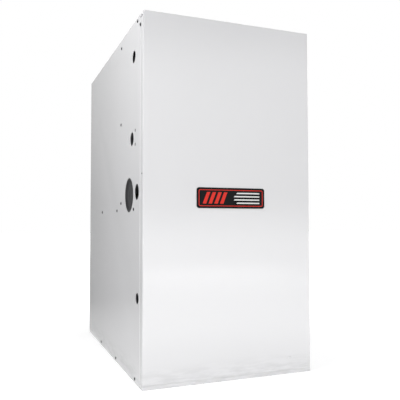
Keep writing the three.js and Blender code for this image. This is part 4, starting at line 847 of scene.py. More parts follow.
def addScrew(shape, at, direction, scale=1.0):
    size = screwSizes
    place = towards(direction, at)
    washer, head, rise = size["washer"] * scale, size["head"] * scale, size["rise"] * scale
    turnProfile(shape, [
        (0, 0), (washer, 0), (washer, rise * 0.16), (washer * 0.93, rise * 0.3), (head * 1.04, rise * 0.38),
        (head, rise * 0.75), (head * 0.82, rise), (0, rise),
    ], place, 24)
    arm, slim = size["recess"] * scale, 0.21 * size["recess"] * scale
    cross = []
    for turn in range(4):
        for x, y in ((arm, -slim), (arm, slim), (slim, slim)):
            for _ in range(turn):
                x, y = -y, x
            cross.append((x, y))
    raiseOutline(shape, cross, rise * 0.9, rise * 1.04, place)


def screwSet(name, direction, points, scale=1.0, finish="plain_steel", body="cabinet"):
    def build(shape):
        for point in points:
            addScrew(shape, point, direction, scale)

    addPiece(build, name, finish, body=body)


# Places as distance behind the door's face and height, or distance from the middle and height, in mm.
cabinetScrewPlaces = {
    "side": [(225, 854), (228, 645), (224, 432), (87.6, 413), (272.3, 413), (485.2, 413),
             (68.8, 9), (277.9, 9), (489.9, 9), (53.5, 868), (27.9, 851.2)],
    "back": [(across, height) for height in (9, 413, 866) for across in (-190, -65, 65, 190)],
    "scale": 0.95,
}


def cabinetScrews():
    places, scale = cabinetScrewPlaces, cabinetScrewPlaces["scale"]
    for side, word in ((-1, "left"), (1, "right")):
        points = [(side * cabinetHigh.x, doorFace + setback * mm, height * mm) for setback,
                  height in places["side"]]
        screwSet(f"side_screws_{word}", (side, 0, 0), points, scale, "black_paint")
    points = [(across * mm, cabinetHigh.y, height * mm) for across, height in places["back"]]
    screwSet("back_screws", rearward, points, scale, "black_paint")


# Screws that hold the junction box, deep in their own holes of the side panel, each sitting on a black disc of
# painted shade at the bottom of its hole.
# dark is the radius of the black disc of painted shade in each hole
boxScrewSizes = {"dark": 4.2 * mm, "head": 1.2 * mm, "sink": 0.2 * mm, "floor": 1.4 * mm}


def boxScrews():
    size = boxScrewSizes
    for name, finish, radius, depth in (
            ("box_screw_painted_shade", "hole_shade", size["dark"], size["sink"]),
            ("box_screw_heads", "plain_steel", size["head"], size["sink"] / 2)):
        def rods(shape):
            for hole in ("boxScrewHigh", "boxScrewLow"):
                setback, height = cabinetShape["holes"][hole][:2]
                addRod(shape, (cabinetLow.x + depth, doorFace + setback, height),
                       (cabinetLow.x + size["floor"], doorFace + setback, height), radius, 32, 0.15 * mm)

        addPiece(rods, name, finish)


# A screw in each of the door's side flanges, and a painted one low on its face.
doorScrewPlaces = {"side": (9.2 * mm, 494.4 * mm), "sideScale": 0.5,
                   "face": (160.7 * mm, 40 * mm), "faceScale": 0.9}


def doorScrews():
    setback, height = doorScrewPlaces["side"]

    def build(shape):
        for side in (-1, 1):
            addScrew(shape, (side * doorHigh.x, doorFace + setback, height), (side, 0, 0),
                     doorScrewPlaces["sideScale"])

    addPiece(build, "door_side_screws", "black_paint", body="front_door")
    across, height = doorScrewPlaces["face"]
    screwSet("door_low_screw", forward, [(across, doorFace, height)], doorScrewPlaces["faceScale"],
             "cabinet_paint", "front_door")


boxScrews()
doorScrews()
cabinetScrews()
print("screws made")


# Burners: a bell, a throat and a wide head, with wings that pass the flame on.
burnerShape = {"head": 18 * mm, "bell": 15 * mm, "throat": 9 * mm, "wall": 1 * mm, "reach": 47.9 * mm,
               "wingHeight": 12 * mm, "wingDepth": 14 * mm, "vanes": 8}


def burners():
    size = burnerShape
    head, bell, throat, wall = size["head"], size["bell"], size["throat"], size["wall"]
    for i in range(1, 5):
        low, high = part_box(f"burner_{i}")
        x, z = middleOf(f"exchanger_tube_{i}").x, (low.z + high.z) / 2
        length = high.y - low.y
        outside = [
            (bell - 0.4 * mm, 0), (bell, 0.5 * mm), (bell - 0.8 * mm, 2 * mm),
            (throat + 3.4 * mm, length * 0.09), (throat + 0.9 * mm, length * 0.18), (throat, length * 0.26),
            (throat, length * 0.4), (throat + 1.2 * mm, length * 0.5), (head - 3 * mm, length * 0.58),
            (head - 0.5 * mm, length * 0.63), (head, length * 0.66), (head, length * 0.8),
            (head - 0.6 * mm, length * 0.815), (head, length * 0.83), (head, length),
        ]
        inside = [(radius - wall, along) for radius, along in reversed(outside)]
        place = towards(rearward, (x, low.y, z))

        def burner(shape):
            turnProfile(shape, outside + inside + outside[:1], place, 48)
            ring, outer, deep = head * 0.42, head * 0.46, 2.4 * mm
            turnProfile(shape, [(ring, 0), (outer, 0), (outer, deep), (ring, deep), (ring, 0)],
                        towards(rearward, (x, high.y - 3 * mm, z)), 32)
            near, thin = head * 0.45, 0.4 * mm
            for k in range(size["vanes"]):
                vane = place @ Matrix.Rotation(math.tau * k / size["vanes"], 4, "Z")
                raiseOutline(shape, [(near, -thin), (head - wall, -thin), (head - wall, thin), (near, thin)],
                             length - 3 * mm, length - 0.8 * mm, vane)
            half, front = size["wingHeight"] / 2, high.y - size["wingDepth"]
            for side, joined in ((-1, i > 1), (1, i < 4)):
                if not joined:
                    continue
                left, right = sorted((x + side * (head - 1.2 * mm), x + side * size["reach"]))
                for floor in (z - half, z + half - 1 * mm):
                    addBlock(shape, (left, front, floor), (right, high.y, floor + 1 * mm), 0.2 * mm)
                addBlock(shape, (left, front - 0.8 * mm, z - half), (right, front + 0.4 * mm, z + half),
                         0.2 * mm)

        addPiece(burner, f"inshot_burner_{i}", "aluminised_steel", 40, f"burner_{i}")


# Gas manifold with hexagonal brass nozzles, end tabs and a plugged test port.
manifoldShape = {"radius": 9 * mm, "tab": 13.5 * mm, "tabDepth": 2 * mm, "hex": 5 * mm, "tip": 3 * mm,
                 "plug": 4.2 * mm, "plugAt": 62 * mm}


def manifoldPipe():
    size = manifoldShape
    low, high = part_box("gas_manifold")
    radius, y, z = size["radius"], low.y + size["radius"], (low.z + high.z) / 2
    outlets = [middleOf(f"exchanger_tube_{i}").x for i in range(1, 5)]

    def pipe(shape):
        addRod(shape, (low.x + 1 * mm, y, z), (high.x - 1 * mm, y, z), radius, 48, 1 * mm)
        for start in (low.x, high.x - size["tabDepth"]):
            addBlock(shape, (start, low.y, z - size["tab"]),
                     (start + size["tabDepth"], y + radius, z + size["tab"]), 0.6 * mm)
        for x in outlets:
            addRod(shape, (x, y, z), (x, y + radius + 1.2 * mm, z), size["hex"] + 1.6 * mm, 32, 0.5 * mm)

    def nozzles(shape):
        for x in outlets:
            addRod(shape, (x, y + radius + 1 * mm, z), (x, high.y - 2.6 * mm, z), size["hex"], 6, 0.5 * mm)
            addRod(shape, (x, high.y - 3 * mm, z), (x, high.y, z), size["tip"], 24, 0.8 * mm)

    def plug(shape):
        x = (low.x + high.x) / 2 + size["plugAt"]
        addRod(shape, (x, low.y + 2 * mm, z), (x, low.y - 0.1 * mm, z), size["plug"], 6, 0.4 * mm)

    addPiece(pipe, "manifold_pipe", "black_paint", 35, "gas_manifold")
    addPiece(nozzles, "brass_nozzles", "brass", 30)
    addPiece(plug, "manifold_test_plug", "brass", 30)


def supplyElbow():
    low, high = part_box("supply_pipe")
    radius, z = (high.z - low.z) / 2, (low.z + high.z) / 2
    x, y = high.x - radius, low.y + radius
    route = bendRoute([(low.x, y, z), (x, y, z), (x, high.y, z)], 18 * mm, 16)
    addPiece(lambda shape: addTube(shape, route, lambda at: (radius, radius), upward, 40),
             "supply_elbow", "black_paint", 40, "supply_pipe")

    def nut(shape):
        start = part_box("gas_valve")[1].x + 0.4 * mm
        middle, end = start + 7 * mm, start + 9 * mm
        addRod(shape, (start, y, z), (middle, y, z), radius + 3.4 * mm, 6, 0.8 * mm)
        addRod(shape, (middle, y, z), (end, y, z), radius + 1.6 * mm, 40, 0.6 * mm)

    addPiece(nut, "pipe_nut", "cast_aluminium", 30)


# Fittings on the valve's body: the regulator's cap, the coil's cover, screws, pressure taps and terminals.
# Places are from the body's left edge and its middle height, in mm.
valveFittings = {
    "face": 12 * mm, "cap": 9.4 * mm, "capAt": 28 * mm, "tap": 3.4 * mm, "taps": [(19, -19), (40, -20)],
    "cover": (46.6 * mm, 79.4 * mm, -19 * mm, 13 * mm), "ribs": 5,
    "ribPitch": 5.6 * mm, "ribHeight": 1.6 * mm, "terminal": (6.3 * mm, 0.8 * mm, 7.8 * mm), "terminals": 3,
    "terminalAt": 53 * mm, "terminalPitch": 9 * mm, "screws": [(17, 19), (40, 19), (81, 17), (81, -17)], "scale": 0.7,
    "topScrews": [(-20, -14), (20, 12), (-20, 14), (18, -14)],  # from the knob's middle
}


def gasValveFittings():
    size = valveFittings
    low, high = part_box("gas_valve")
    knobMiddle = middleOf("gas_valve_knob")
    bodyFront, z = low.y + size["face"], (low.z + high.z) / 2

    def cap(shape):
        outer, slot, rise = size["cap"], 3.4 * mm, 3.4 * mm
        turnProfile(shape, [(0, 0), (outer, 0), (outer, 2.6 * mm), (outer - 0.8 * mm, rise), (slot, rise),
                            (slot, 2.4 * mm), (0, 2.4 * mm)],
                    towards(forward, (low.x + size["capAt"], low.y + 5.2 * mm, z)), 48)

    def cover(shape):
        left, right, bottom, top = size["cover"]
        addBlock(shape, (low.x + left, low.y - 0.2 * mm, z + bottom),
                 (low.x + right, bodyFront - 0.3 * mm, z + top), 1.4 * mm, 3)
        for k in range(size["ribs"]):
            ribZ = z + bottom + 5 * mm + k * size["ribPitch"]
            addBlock(shape, (low.x + left + 2.4 * mm, low.y - 0.6 * mm, ribZ),
                     (low.x + right - 2.4 * mm, low.y, ribZ + size["ribHeight"]), 0.3 * mm)

    def taps(shape):
        wide, hole = size["tap"], 1.5 * mm
        for across, height in size["taps"]:
            turnProfile(shape, [(0, 0), (wide + 1 * mm, 0), (wide + 1 * mm, 1 * mm), (wide, 1.3 * mm),
                                (wide, 2 * mm), (hole, 2 * mm), (hole, 1.1 * mm), (0, 1.1 * mm)],
                        towards(forward, (low.x + across * mm, bodyFront, z + height * mm)), 32)

    def tabs(shape):
        width, thick, tall = size["terminal"]
        for k in range(size["terminals"]):
            x, y = low.x + size["terminalAt"] + k * size["terminalPitch"], low.y + 3 * mm
            bottom = z + size["cover"][3] - 0.4 * mm
            addBlock(shape, (x, y, bottom), (x + width, y + thick, bottom + tall), 0.2 * mm)

    addPiece(cap, "regulator_cap", "plain_steel", 30)
    addPiece(cover, "coil_cover", "black_plastic", 35)
    addPiece(taps, "valve_test_ports", "brass", 30)
    addPiece(tabs, "valve_terminals", "brass", 30)
    screwSet("valve_screws", forward,
             [(low.x + x * mm, bodyFront, z + height * mm) for x, height in size["screws"]], size["scale"])
    screwSet("valve_top_screws", upward,
             [(knobMiddle.x + x * mm, knobMiddle.y + y * mm, high.z) for x, y in size["topScrews"]],
             size["scale"])


# The shut-off knob: a fluted skirt with a grip bar and a white pointer mark. The skirt's
# steps are shares of its radius, with their heights in mm.
knobShape = {
    "flutes": 24, "depth": 0.5 * mm, "grip": (20 * mm, 6 * mm), "steps": 144,
    "mark": (2 * mm, 9 * mm, 0.6 * mm),
    "skirt": [(0.97, 0), (1, 0.6), (1, 3), (0.9, 4.4), (0.86, 6.2), (0.82, 6.6)],
}


def valveKnob():
    size = knobShape
    low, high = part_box("gas_valve_knob")
    middle, radius = (low + high) / 2, (high.x - low.x) / 2
    place = Matrix.Translation((middle.x, middle.y, low.z))

    def knob(shape):
        rings = []
        for share, height in size["skirt"]:
            ring = []
            for i in range(size["steps"]):
                turn = math.tau * i / size["steps"]
                flute = size["depth"] * (0.5 - 0.5 * math.cos(turn * size["flutes"])) if share > 0.95 else 0
                reach = radius * share - flute
                at = Vector((reach * math.cos(turn), reach * math.sin(turn), height * mm))
                ring.append(shape.verts.new(place @ at))
            rings.append(ring)
        for first, second in zip(rings, rings[1:]):
            joinRings(shape, first, second)
        shape.faces.new(rings[0])
        shape.faces.new(rings[-1])
        raiseOutline(shape, roundedOutline(*size["grip"], 2.5 * mm), 5 * mm, high.z - low.z, place, 0.7 * mm)

    def mark(shape):
        start, end, half = size["mark"]
        addBlock(shape, (middle.x + start, middle.y - half, high.z - 0.2 * mm),
                 (middle.x + end, middle.y + half, high.z + 0.1 * mm), 0.1 * mm)

    addPiece(knob, "shutoff_knob", "black_plastic", 40, "gas_valve_knob", "gas_valve_knob")
    addPiece(mark, "knob_pointer", "white_plastic", body="gas_valve_knob")


# Hot surface igniter and flame sensor: a ceramic body with a groove, and a thin rod in front of the burner.
# Each has its piece's name, the rod's finish, the body's radius and length, and the rod's radius.
probeShapes = {
    "igniter": ("hot_surface_igniter", "black_plastic", 4.2 * mm, 26 * mm, 2 * mm),
    "flame_sensor": ("flame_sensor_rod", "plain_steel", 4 * mm, 22 * mm, 1.5 * mm),
}


def flameProbes():
    for node, (name, rodFinish, radius, length, rodRadius) in probeShapes.items():
        low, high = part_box(node)
        side = -1 if low.x + high.x < 0 else 1
        outer, tip = (low.x, high.x) if side < 0 else (high.x, low.x)
        y, z = (low.y + high.y) / 2, (low.z + high.z) / 2

        def body(shape):
            groove = radius - 0.6 * mm
            turnProfile(shape, [
                (0, 0), (radius - 0.8 * mm, 0), (radius, 0.8 * mm), (radius, length * 0.55),
                (groove, length * 0.58), (groove, length * 0.68), (radius, length * 0.7), (radius, length),
                (0, length),
            ], towards((-side, 0, 0), (outer, y, z)), 40)

        def bar(shape):
            addRod(shape, (outer - side * length, y, z), (tip, y, z), rodRadius, 24, rodRadius * 0.5)

        addPiece(body, name, "ceramic", 35, node)
        addPiece(bar, name + "_bar", rodFinish)


# Rollout switches: a round thermal disc on a flange, with a red reset button.
rolloutShape = {"flange": (38 * mm, 16 * mm), "sheet": 1.2 * mm, "cap": 9 * mm, "bore": 3.6 * mm,
                "collar": 5.2 * mm,
                "terminal": (6.3 * mm, 0.8 * mm, 7 * mm), "screw": 14.6 * mm, "scale": 0.6}


def rolloutSwitches():
    size = rolloutShape
    cap, bore, collar = size["cap"], size["bore"], size["collar"]
    for side in ("left", "right"):
        low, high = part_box(f"rollout_switch_{side}")
        buttonLow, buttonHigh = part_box(f"reset_button_{side}")
        x, z, depth = (low.x + high.x) / 2, (buttonLow.z + buttonHigh.z) / 2, high.y - low.y

        def disc(shape):
            raiseOutline(shape, roundedOutline(*size["flange"], 7.2 * mm), 0, size["sheet"],
                         facing("y", (x, high.y, z)), 0.3 * mm)
            turnProfile(shape, [
                (bore, 3 * mm), (bore, depth), (collar - 0.2 * mm, depth), (collar, depth - 0.3 * mm),
                (collar, depth - 1.5 * mm), (cap - 0.8 * mm, depth - 1.6 * mm), (cap, depth - 2.4 * mm),
                (cap, 6 * mm), (cap - 0.9 * mm, 5.2 * mm), (cap - 0.9 * mm, 1 * mm), (bore, 1 * mm),
                (bore, 3 * mm),
            ], towards(forward, (x, high.y, z)), 48)

        def tabs(shape):
            width, thick, reach = size["terminal"]
            y = high.y - depth / 2
            for end in (-1, 1):
                start = cap - 0.5 * mm
                bottom, top = sorted((z + end * start, z + end * (start + reach)))
                addBlock(shape, (x - width / 2, y, bottom), (x + width / 2, y + thick, top), 0.2 * mm)

        def push(shape):
            radius, length = (buttonHigh.x - buttonLow.x) / 2, buttonHigh.y - buttonLow.y
            turnProfile(shape, [
                (0, 0.4 * mm), (radius * 0.55, 0.25 * mm), (radius * 0.6, 0), (radius - 0.7 * mm, 0),
                (radius - 0.2 * mm, 0.25 * mm), (radius, 0.8 * mm), (radius, length), (0, length),
            ], towards(rearward, (x, buttonLow.y, z)), 40)

        addPiece(disc, f"rollout_disc_{side}", "plain_steel", 35, f"rollout_switch_{side}")
        addPiece(tabs, f"rollout_terminals_{side}", "brass")
        screwSet(f"rollout_screws_{side}", forward,
                 [(x + end * size["screw"], high.y - size["sheet"], z) for end in (-1, 1)], size["scale"])
        addPiece(push, f"reset_push_{side}", "red_plastic", 35, f"reset_button_{side}",
                 f"reset_button_{side}")


burners()
manifoldPipe()
supplyElbow()
gasValveFittings()
valveKnob()
flameProbes()
rolloutSwitches()
print("burners and gas train made")


# Draft inducer: a stamped scroll with a rolled seam, stiffening beads and bolt ears.
inducerShape = {
    "tongue": 62 * mm, "mouth": 92 * mm, "outlet": 88 * mm, "wall": 1.5 * mm,
    "flange": 46 * mm, "flangeDepth": 2 * mm, "opening": 23 * mm, "shaftHole": 4.8 * mm, "intake": 38 * mm,
    "beads": (24 * mm, 50 * mm), "barb": 2.5 * mm, "barbHeight": 40 * mm,
    "screwCircle": 56 * mm, "screwAngles": (-20, 52, 124, 196, 268), "flangeScrew": 38 * mm,
}


def inducerScroll():
    size = inducerShape
    low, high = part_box("inducer_housing")
    wheel, flueMiddle = middleOf("inducer_wheel"), middleOf("flue_collar")
    x, z = wheel.x, wheel.z
    front, back, wall = low.y, high.y, size["wall"]
    tongue, mouth, outlet = size["tongue"], size["mouth"], size["outlet"]
    depth, flangeTop = back - front, z + outlet
    place = facing("y", (x, back, z))

    def shell(shape):
        raiseOutline(shape, scrollOutline(tongue, mouth, outlet), 0, depth, place, 1.2 * mm)

    def hollows(shape):
        raiseOutline(shape, scrollOutline(tongue, mouth, outlet + 4 * mm, wall), wall, depth - wall, place)

    def bores(shape):
        addRod(shape, (x, front - 2 * mm, z), (x, front + 4 * mm, z), size["shaftHole"], 40)
        addRod(shape, (x, back - 4 * mm, z), (x, back + 2 * mm, z), size["intake"], 64)

    piece = finishPiece(cutAway(meshFrom(shell), meshFrom(hollows), meshFrom(bores)),
                        "inducer_scroll", "galvanised_steel", "cabinet", 32)
    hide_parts("inducer_housing")

    def flange(shape):
        half, opening = size["flange"], size["opening"]
        for left, near, right, far in ((-half, -half, half, -opening), (-half, opening, half, half),
                                       (-half, -opening, -opening, opening),
                                       (opening, -opening, half, opening)):
            addBlock(shape, (flueMiddle.x + left, flueMiddle.y + near, flangeTop - size["flangeDepth"]),
                     (flueMiddle.x + right, flueMiddle.y + far, flangeTop), 0.3 * mm)

    # Beads pressed into the front face.
    def beads(shape):
        for radius in size["beads"]:
            turnProfile(shape, [(radius - 2.2 * mm, 0), (radius - 1.4 * mm, 0.7 * mm), (radius, 1 * mm),
                                (radius + 1.4 * mm, 0.7 * mm), (radius + 2.2 * mm, 0),
                                (radius - 2.2 * mm, 0)],
                        towards(forward, (x, front + 0.1 * mm, z)), 72)

    # A seam round the scroll where its two stampings are rolled together.
    def seam(shape):
        top, half = outlet - 3 * mm, 1.4 * mm
        raiseFrame(shape, scrollOutline(tongue + 1.4 * mm, mouth - 0.2 * mm, top),
                   scrollOutline(tongue - 0.6 * mm, mouth - 1.4 * mm, top), half, -half,
                   facing("y", (x, (front + back) / 2, z)))

    def barb(shape):
        radius, length, start = size["barb"], 11 * mm, x + mouth - 1 * mm
        turnProfile(shape, [(0, 0), (radius, 0), (radius, length - 0.4 * mm), (2.1 * mm, length),
                            (0, length)],
                    towards(rightward, (start, flueMiddle.y, z + size["barbHeight"])), 32)
        turnProfile(shape, [(0, 0), (6 * mm, 0), (6 * mm, 1.2 * mm), (0, 1.2 * mm)],
                    towards(rightward, (start + 0.9 * mm, flueMiddle.y, z + size["barbHeight"])), 6)

    addPiece(flange, "inducer_flange", "galvanised_steel")
    addPiece(beads, "inducer_beads", "galvanised_steel", 40)
    addPiece(seam, "inducer_seam", "galvanised_steel")
    addPiece(barb, "inducer_barb", "brass", 32)
    circle, reach = size["screwCircle"], size["flangeScrew"]
    turns = [math.radians(angle) for angle in size["screwAngles"]]
    screwSet("inducer_screws", forward,
             [(x + math.cos(turn) * circle, front, z + math.sin(turn) * circle) for turn in turns], 0.8)
    screwSet("flue_flange_screws", upward,
             [(flueMiddle.x + u * reach, flueMiddle.y + v * reach, flangeTop + 2.3 * mm)
              for u in (-1, 1) for v in (-1, 1)], 0.7)


# The inducer's motor: a drawn can with vent slots, an end bell and three posts.
motorShape = {"slots": 10, "slot": (4 * mm, 13 * mm), "gap": 16 * mm, "shaft": 5.2 * mm,
              "posts": 3, "post": 4.5 * mm, "pitch": 40.5 * mm, "nut": 2.4 * mm}


def inducerMotorCan():
    size = motorShape
    low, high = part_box("inducer_motor")
    shaft = middleOf("inducer_shaft")
    x, z, front = shaft.x, shaft.z, low.y
    radius = high.x - x
    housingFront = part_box("inducer_housing")[0].y
    length = housingFront - size["gap"] - front

    def can(shape):
        turnProfile(shape, [
            (0, 0.6 * mm), (radius * 0.1, 0.6 * mm), (radius * 0.13, 0), (radius * 0.3, 0),
            (radius * 0.33, 1 * mm), (radius * 0.34, 4 * mm), (radius * 0.5, 4.6 * mm),
            (radius * 0.8, 6 * mm), (radius * 0.9, 8 * mm), (radius * 0.97, 11 * mm), (radius, 14 * mm),
            (radius, length * 0.48), (radius * 0.985, length * 0.49), (radius * 0.985, length * 0.52),
            (radius, length * 0.53), (radius, length - 8 * mm), (radius * 0.96, length - 4 * mm),
            (radius * 0.88, length - 0.8 * mm), (radius * 0.84, length), (size["shaft"], length),
            (size["shaft"], length - 10 * mm), (0, length - 10 * mm),
        ], towards(rearward, (x, front, z)), 72)

    def slots(shape):
        cutter = Matrix.Translation((0, front + 3 * mm, radius * 0.66)) @ facing("y", (0, 9 * mm, 0))
        for i in range(size["slots"]):
            turn = Matrix.Translation((x, 0, z)) @ Matrix.Rotation(math.tau * i / size["slots"], 4, "Y")
            raiseOutline(shape, roundedOutline(*size["slot"], 1.9 * mm, 4), 0, 9 * mm, turn @ cutter)

    piece = finishPiece(cutAway(meshFrom(can), meshFrom(slots)), "inducer_motor_can", "black_paint",
                        "cabinet", 32)
    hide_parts("inducer_motor")

    def posts(shape):
        post, start = size["post"], front + size["gap"]
        for i in range(size["posts"]):
            turn = math.pi / 2 + math.tau * i / size["posts"]
            px, pz = x + size["pitch"] * math.cos(turn), z + size["pitch"] * math.sin(turn)
            addRod(shape, (px, start, pz), (px, housingFront - 0.3 * mm, pz), post, 32, 0.6 * mm)
            addRod(shape, (px, start - size["nut"], pz), (px, start, pz), post + 0.2 * mm, 6, 0.5 * mm)

    addPiece(posts, "inducer_posts", "plain_steel", 32)


# Cooling fan with curved fins on a round plate.
fanShape = {"bore": 4.4 * mm, "hub": 9 * mm, "plate": 1.3 * mm, "fins": 12, "fin": 1 * mm, "lean": 5 * mm,
            "steps": 6}


def motorCoolingFan():
    size = fanShape
    low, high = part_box("inducer_cooling_fan")
    radius, depth = (high.x - low.x) / 2, high.y - low.y
    bore, hub, plate = size["bore"], size["hub"], size["plate"]
    place = towards(rearward, ((low.x + high.x) / 2, low.y, (low.z + high.z) / 2))

    def fan(shape):
        turnProfile(shape, [(bore, 0), (radius - 0.4 * mm, 0), (radius, 0.4 * mm), (radius, plate - 0.3 * mm),
                            (radius - 0.3 * mm, plate), (hub + 1 * mm, plate), (hub, 2 * mm), (hub, depth),
                            (bore, depth), (bore, 0)], place, 64)
        middle = []
        for k in range(size["steps"] + 1):
            share = k / size["steps"]
            middle.append((hub + (radius - hub - 1.4 * mm) * share, size["lean"] * share * share))
        near, far = ([(reach, lean + side * size["fin"] / 2) for reach, lean in middle] for side in (-1, 1))
        for i in range(size["fins"]):
            turn = place @ Matrix.Rotation(math.tau * i / size["fins"], 4, "Z")
            raiseOutline(shape, near + far[::-1], plate - 0.2 * mm, depth, turn)

    addPiece(fan, "motor_cooling_fan", "cast_aluminium", 35, "inducer_cooling_fan", "inducer_wheel")


# Pressure switch: a crimped drum on a bracket, with a spigot, terminals and screws.
switchShape = {"radius": 36 * mm, "spigotLength": 10 * mm, "plate": 22 * mm, "sheet": 1.2 * mm,
               "corner": 3 * mm,
               "spigot": 2.5 * mm, "crimps": 10, "crimp": (6 * mm, 6.8 * mm),
               "terminal": (6.3 * mm, 0.8 * mm), "terminalPitch": 10 * mm, "screw": 15 * mm}


def pressureSwitchDrum():
    size = switchShape
    low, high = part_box("pressure_switch")
    radius, spigot, sheet = size["radius"], size["spigot"], size["sheet"]
    x, z = (low.x + high.x) / 2, low.z + radius
    front, back = low.y + size["spigotLength"], high.y
    depth = back - front - 1 * mm

    def drum(shape):
        turnProfile(shape, [
            (0, 0.8 * mm), (radius * 0.2, 0.8 * mm), (radius * 0.22, 0), (radius * 0.4, 0),
            (radius * 0.43, 1 * mm), (radius * 0.46, 4.4 * mm), (radius * 0.52, 5.4 * mm),
            (radius * 0.7, 6.4 * mm), (radius * 0.74, 5.8 * mm), (radius * 0.8, 6.6 * mm),
            (radius * 0.93, 8.6 * mm), (radius * 0.98, 9.4 * mm), (radius, 10.6 * mm), (radius, 15 * mm),
            (radius * 0.98, 16 * mm), (radius * 0.93, 17 * mm), (radius * 0.74, 19.4 * mm),
            (radius * 0.7, 20.4 * mm), (radius * 0.7, depth), (0, depth),
        ], towards(rearward, (x, front, z)), 72)
        turnProfile(shape, [(0, 0), (spigot, 0), (spigot, 9.4 * mm), (spigot - 0.5 * mm, 10 * mm),
                            (0, 10 * mm)],
                    towards(forward, (x, front + 0.6 * mm, z)), 32)

    def plate(shape):
        half, top, corner = size["plate"], high.z - z, size["corner"]
        outline = [(-half, -half), (half, -half), (half, top - corner), (half - corner, top),
                   (-half + corner, top),
                   (-half, top - corner)]
        raiseOutline(shape, outline, 0, sheet, facing("y", (x, back, z)), 0.2 * mm)

    def clips(shape):
        for i in range(size["crimps"]):
            turn = Matrix.Rotation(math.tau * (i + 0.5) / size["crimps"], 4, "Y")
            clip = Matrix.Translation((x, front + 12.8 * mm, z)) @ turn
            raiseOutline(shape, roundedOutline(*size["crimp"], 0.8 * mm, 2), radius - 2 * mm,
                         radius - 0.1 * mm, clip)

    def tabs(shape):
        width, thick = size["terminal"]
        for k in (-1, 0, 1):
            left, y = x + k * size["terminalPitch"] - width / 2, front + 19 * mm
            addBlock(shape, (left, y, z - radius * 0.7 - 7 * mm),
                     (left + width, y + thick, z - radius * 0.62), 0.2 * mm)

    addPiece(drum, "pressure_switch_drum", "black_plastic", 32, "pressure_switch")
    addPiece(plate, "pressure_switch_bracket", "galvanised_steel")
    addPiece(clips, "pressure_switch_crimps", "plain_steel", 30)
    addPiece(tabs, "pressure_switch_terminals", "brass", 30)
    screwSet("pressure_switch_screws", forward,
             [(x + side * size["screw"], back - sheet, high.z - 4.6 * mm) for side in (-1, 1)], 0.7)


# The rubber hose from the switch's spigot up to the barb on the inducer.
hoseShape = {"radius": 4.5 * mm, "bend": 24 * mm, "wall": 1.7 * mm}


def pressureTube():
    low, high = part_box("pressure_hose")
    radius = hoseShape["radius"]
    x, y, top, bottom = high.x - radius, low.y + radius, high.z - radius, low.z + radius
    route = bendRoute([(x, high.y, bottom), (x, y, bottom), (x, y, top), (low.x, y, top)],
                      hoseShape["bend"], 20)
    addPiece(lambda shape: addTube(shape, route, lambda at: (radius, radius), rightward, 32,
                                   hoseShape["wall"]),
             "pressure_hose_tube", "hose_rubber", 45, "pressure_hose")


inducerScroll()
inducerMotorCan()
motorCoolingFan()
pressureSwitchDrum()
pressureTube()
print("inducer and pressure switch made")


# Blower scroll in folded sheet, with rolled inlets, top flanges and spot welds round its sides.
scrollShape = {
    "tongue": 140 * mm, "mouth": 206 * mm, "width": 234 * mm, "sheet": 1.2 * mm, "inlet": 103 * mm,
    "flare": 10 * mm, "flangeDrop": 12 * mm, "welds": 26, "weldInset": 6 * mm,
}


def blowerScroll():
    size = scrollShape
    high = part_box("blower_housing")[1]
    axis = middleOf("blower_wheel")
    half, sheet, top = size["width"] / 2, size["sheet"], high.z - axis.z
    tongue, mouth, flare = size["tongue"], size["mouth"], size["flare"]
    reach, end = size["inlet"] + flare, half + 2 * mm
    place = facing("x", (-half, axis.y, axis.z))

    def shell(shape):
        raiseOutline(shape, scrollOutline(tongue, mouth, top), 0, 2 * half, place)

    def chamber(shape):
        raiseOutline(shape, scrollOutline(tongue, mouth, top + 4 * mm, sheet), sheet, 2 * half - sheet, place)

    def bore(shape):
        addRod(shape, (-end, axis.y, axis.z), (end, axis.y, axis.z), reach - 0.2 * mm, 96)

    piece = finishPiece(cutAway(meshFrom(shell), meshFrom(chamber), meshFrom(bore)),
                        "blower_scroll", "galvanised_steel", "cabinet", 30)
    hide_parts("blower_housing")

    def inlets(shape):
        turns = [math.pi / 2 * k / 8 for k in range(9)]
        arc, inner = ([(reach - depth * math.sin(turn), flare - depth * math.cos(turn)) for turn in turns]
                      for depth in (flare, flare - sheet))
        for side in (-1, 1):
            turnProfile(shape, arc + inner[::-1] + arc[:1],
                        towards((-side, 0, 0), (side * half, axis.y, axis.z)), 96)

    def flanges(shape):
        flangeTop = high.z - size["flangeDrop"]
        for side in (-1, 1):
            near, far = sorted((side * (half - sheet / 2), side * high.x))
            addBlock(shape, (near, axis.y + tongue / 2, flangeTop - sheet),
                     (far, axis.y + mouth, flangeTop), 0.2 * mm)

    def welds(shape):
        inset = size["weldInset"]
        for side in (-1, 1):
            for u, v in scrollOutline(tongue - inset, mouth - inset, top, 0, size["welds"])[:-2]:
                turnProfile(shape, [(2.6 * mm, 0), (2.2 * mm, 0.25 * mm), (1.2 * mm, 0.1 * mm),
                                    (0, 0.08 * mm)],
                            towards((side, 0, 0), (side * half, axis.y + u, axis.z + v)), 16)

    addPiece(inlets, "blower_inlets", "galvanised_steel", 30)
    addPiece(flanges, "blower_flanges", "galvanised_steel", 30)
    addPiece(welds, "blower_welds", "galvanised_steel", 40)


# Forward-curved wheel: fine blades between two rolled rims, on a ribbed disc with a hub and set screw.
wheelShape = {"blades": 42, "inner": 105 * mm, "rim": 4 * mm, "arc": 15.5 * mm, "thickness": 0.8 * mm,
              "lean": 6, "margin": 1.6 * mm, "disc": 110 * mm, "hub": 16 * mm, "hubLength": 40 * mm,
              "rib": (52 * mm, 62 * mm), "setScrew": 14 * mm}


def shaftRadius():
    low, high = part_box("blower_shaft")
    return (high.z - low.z) / 2


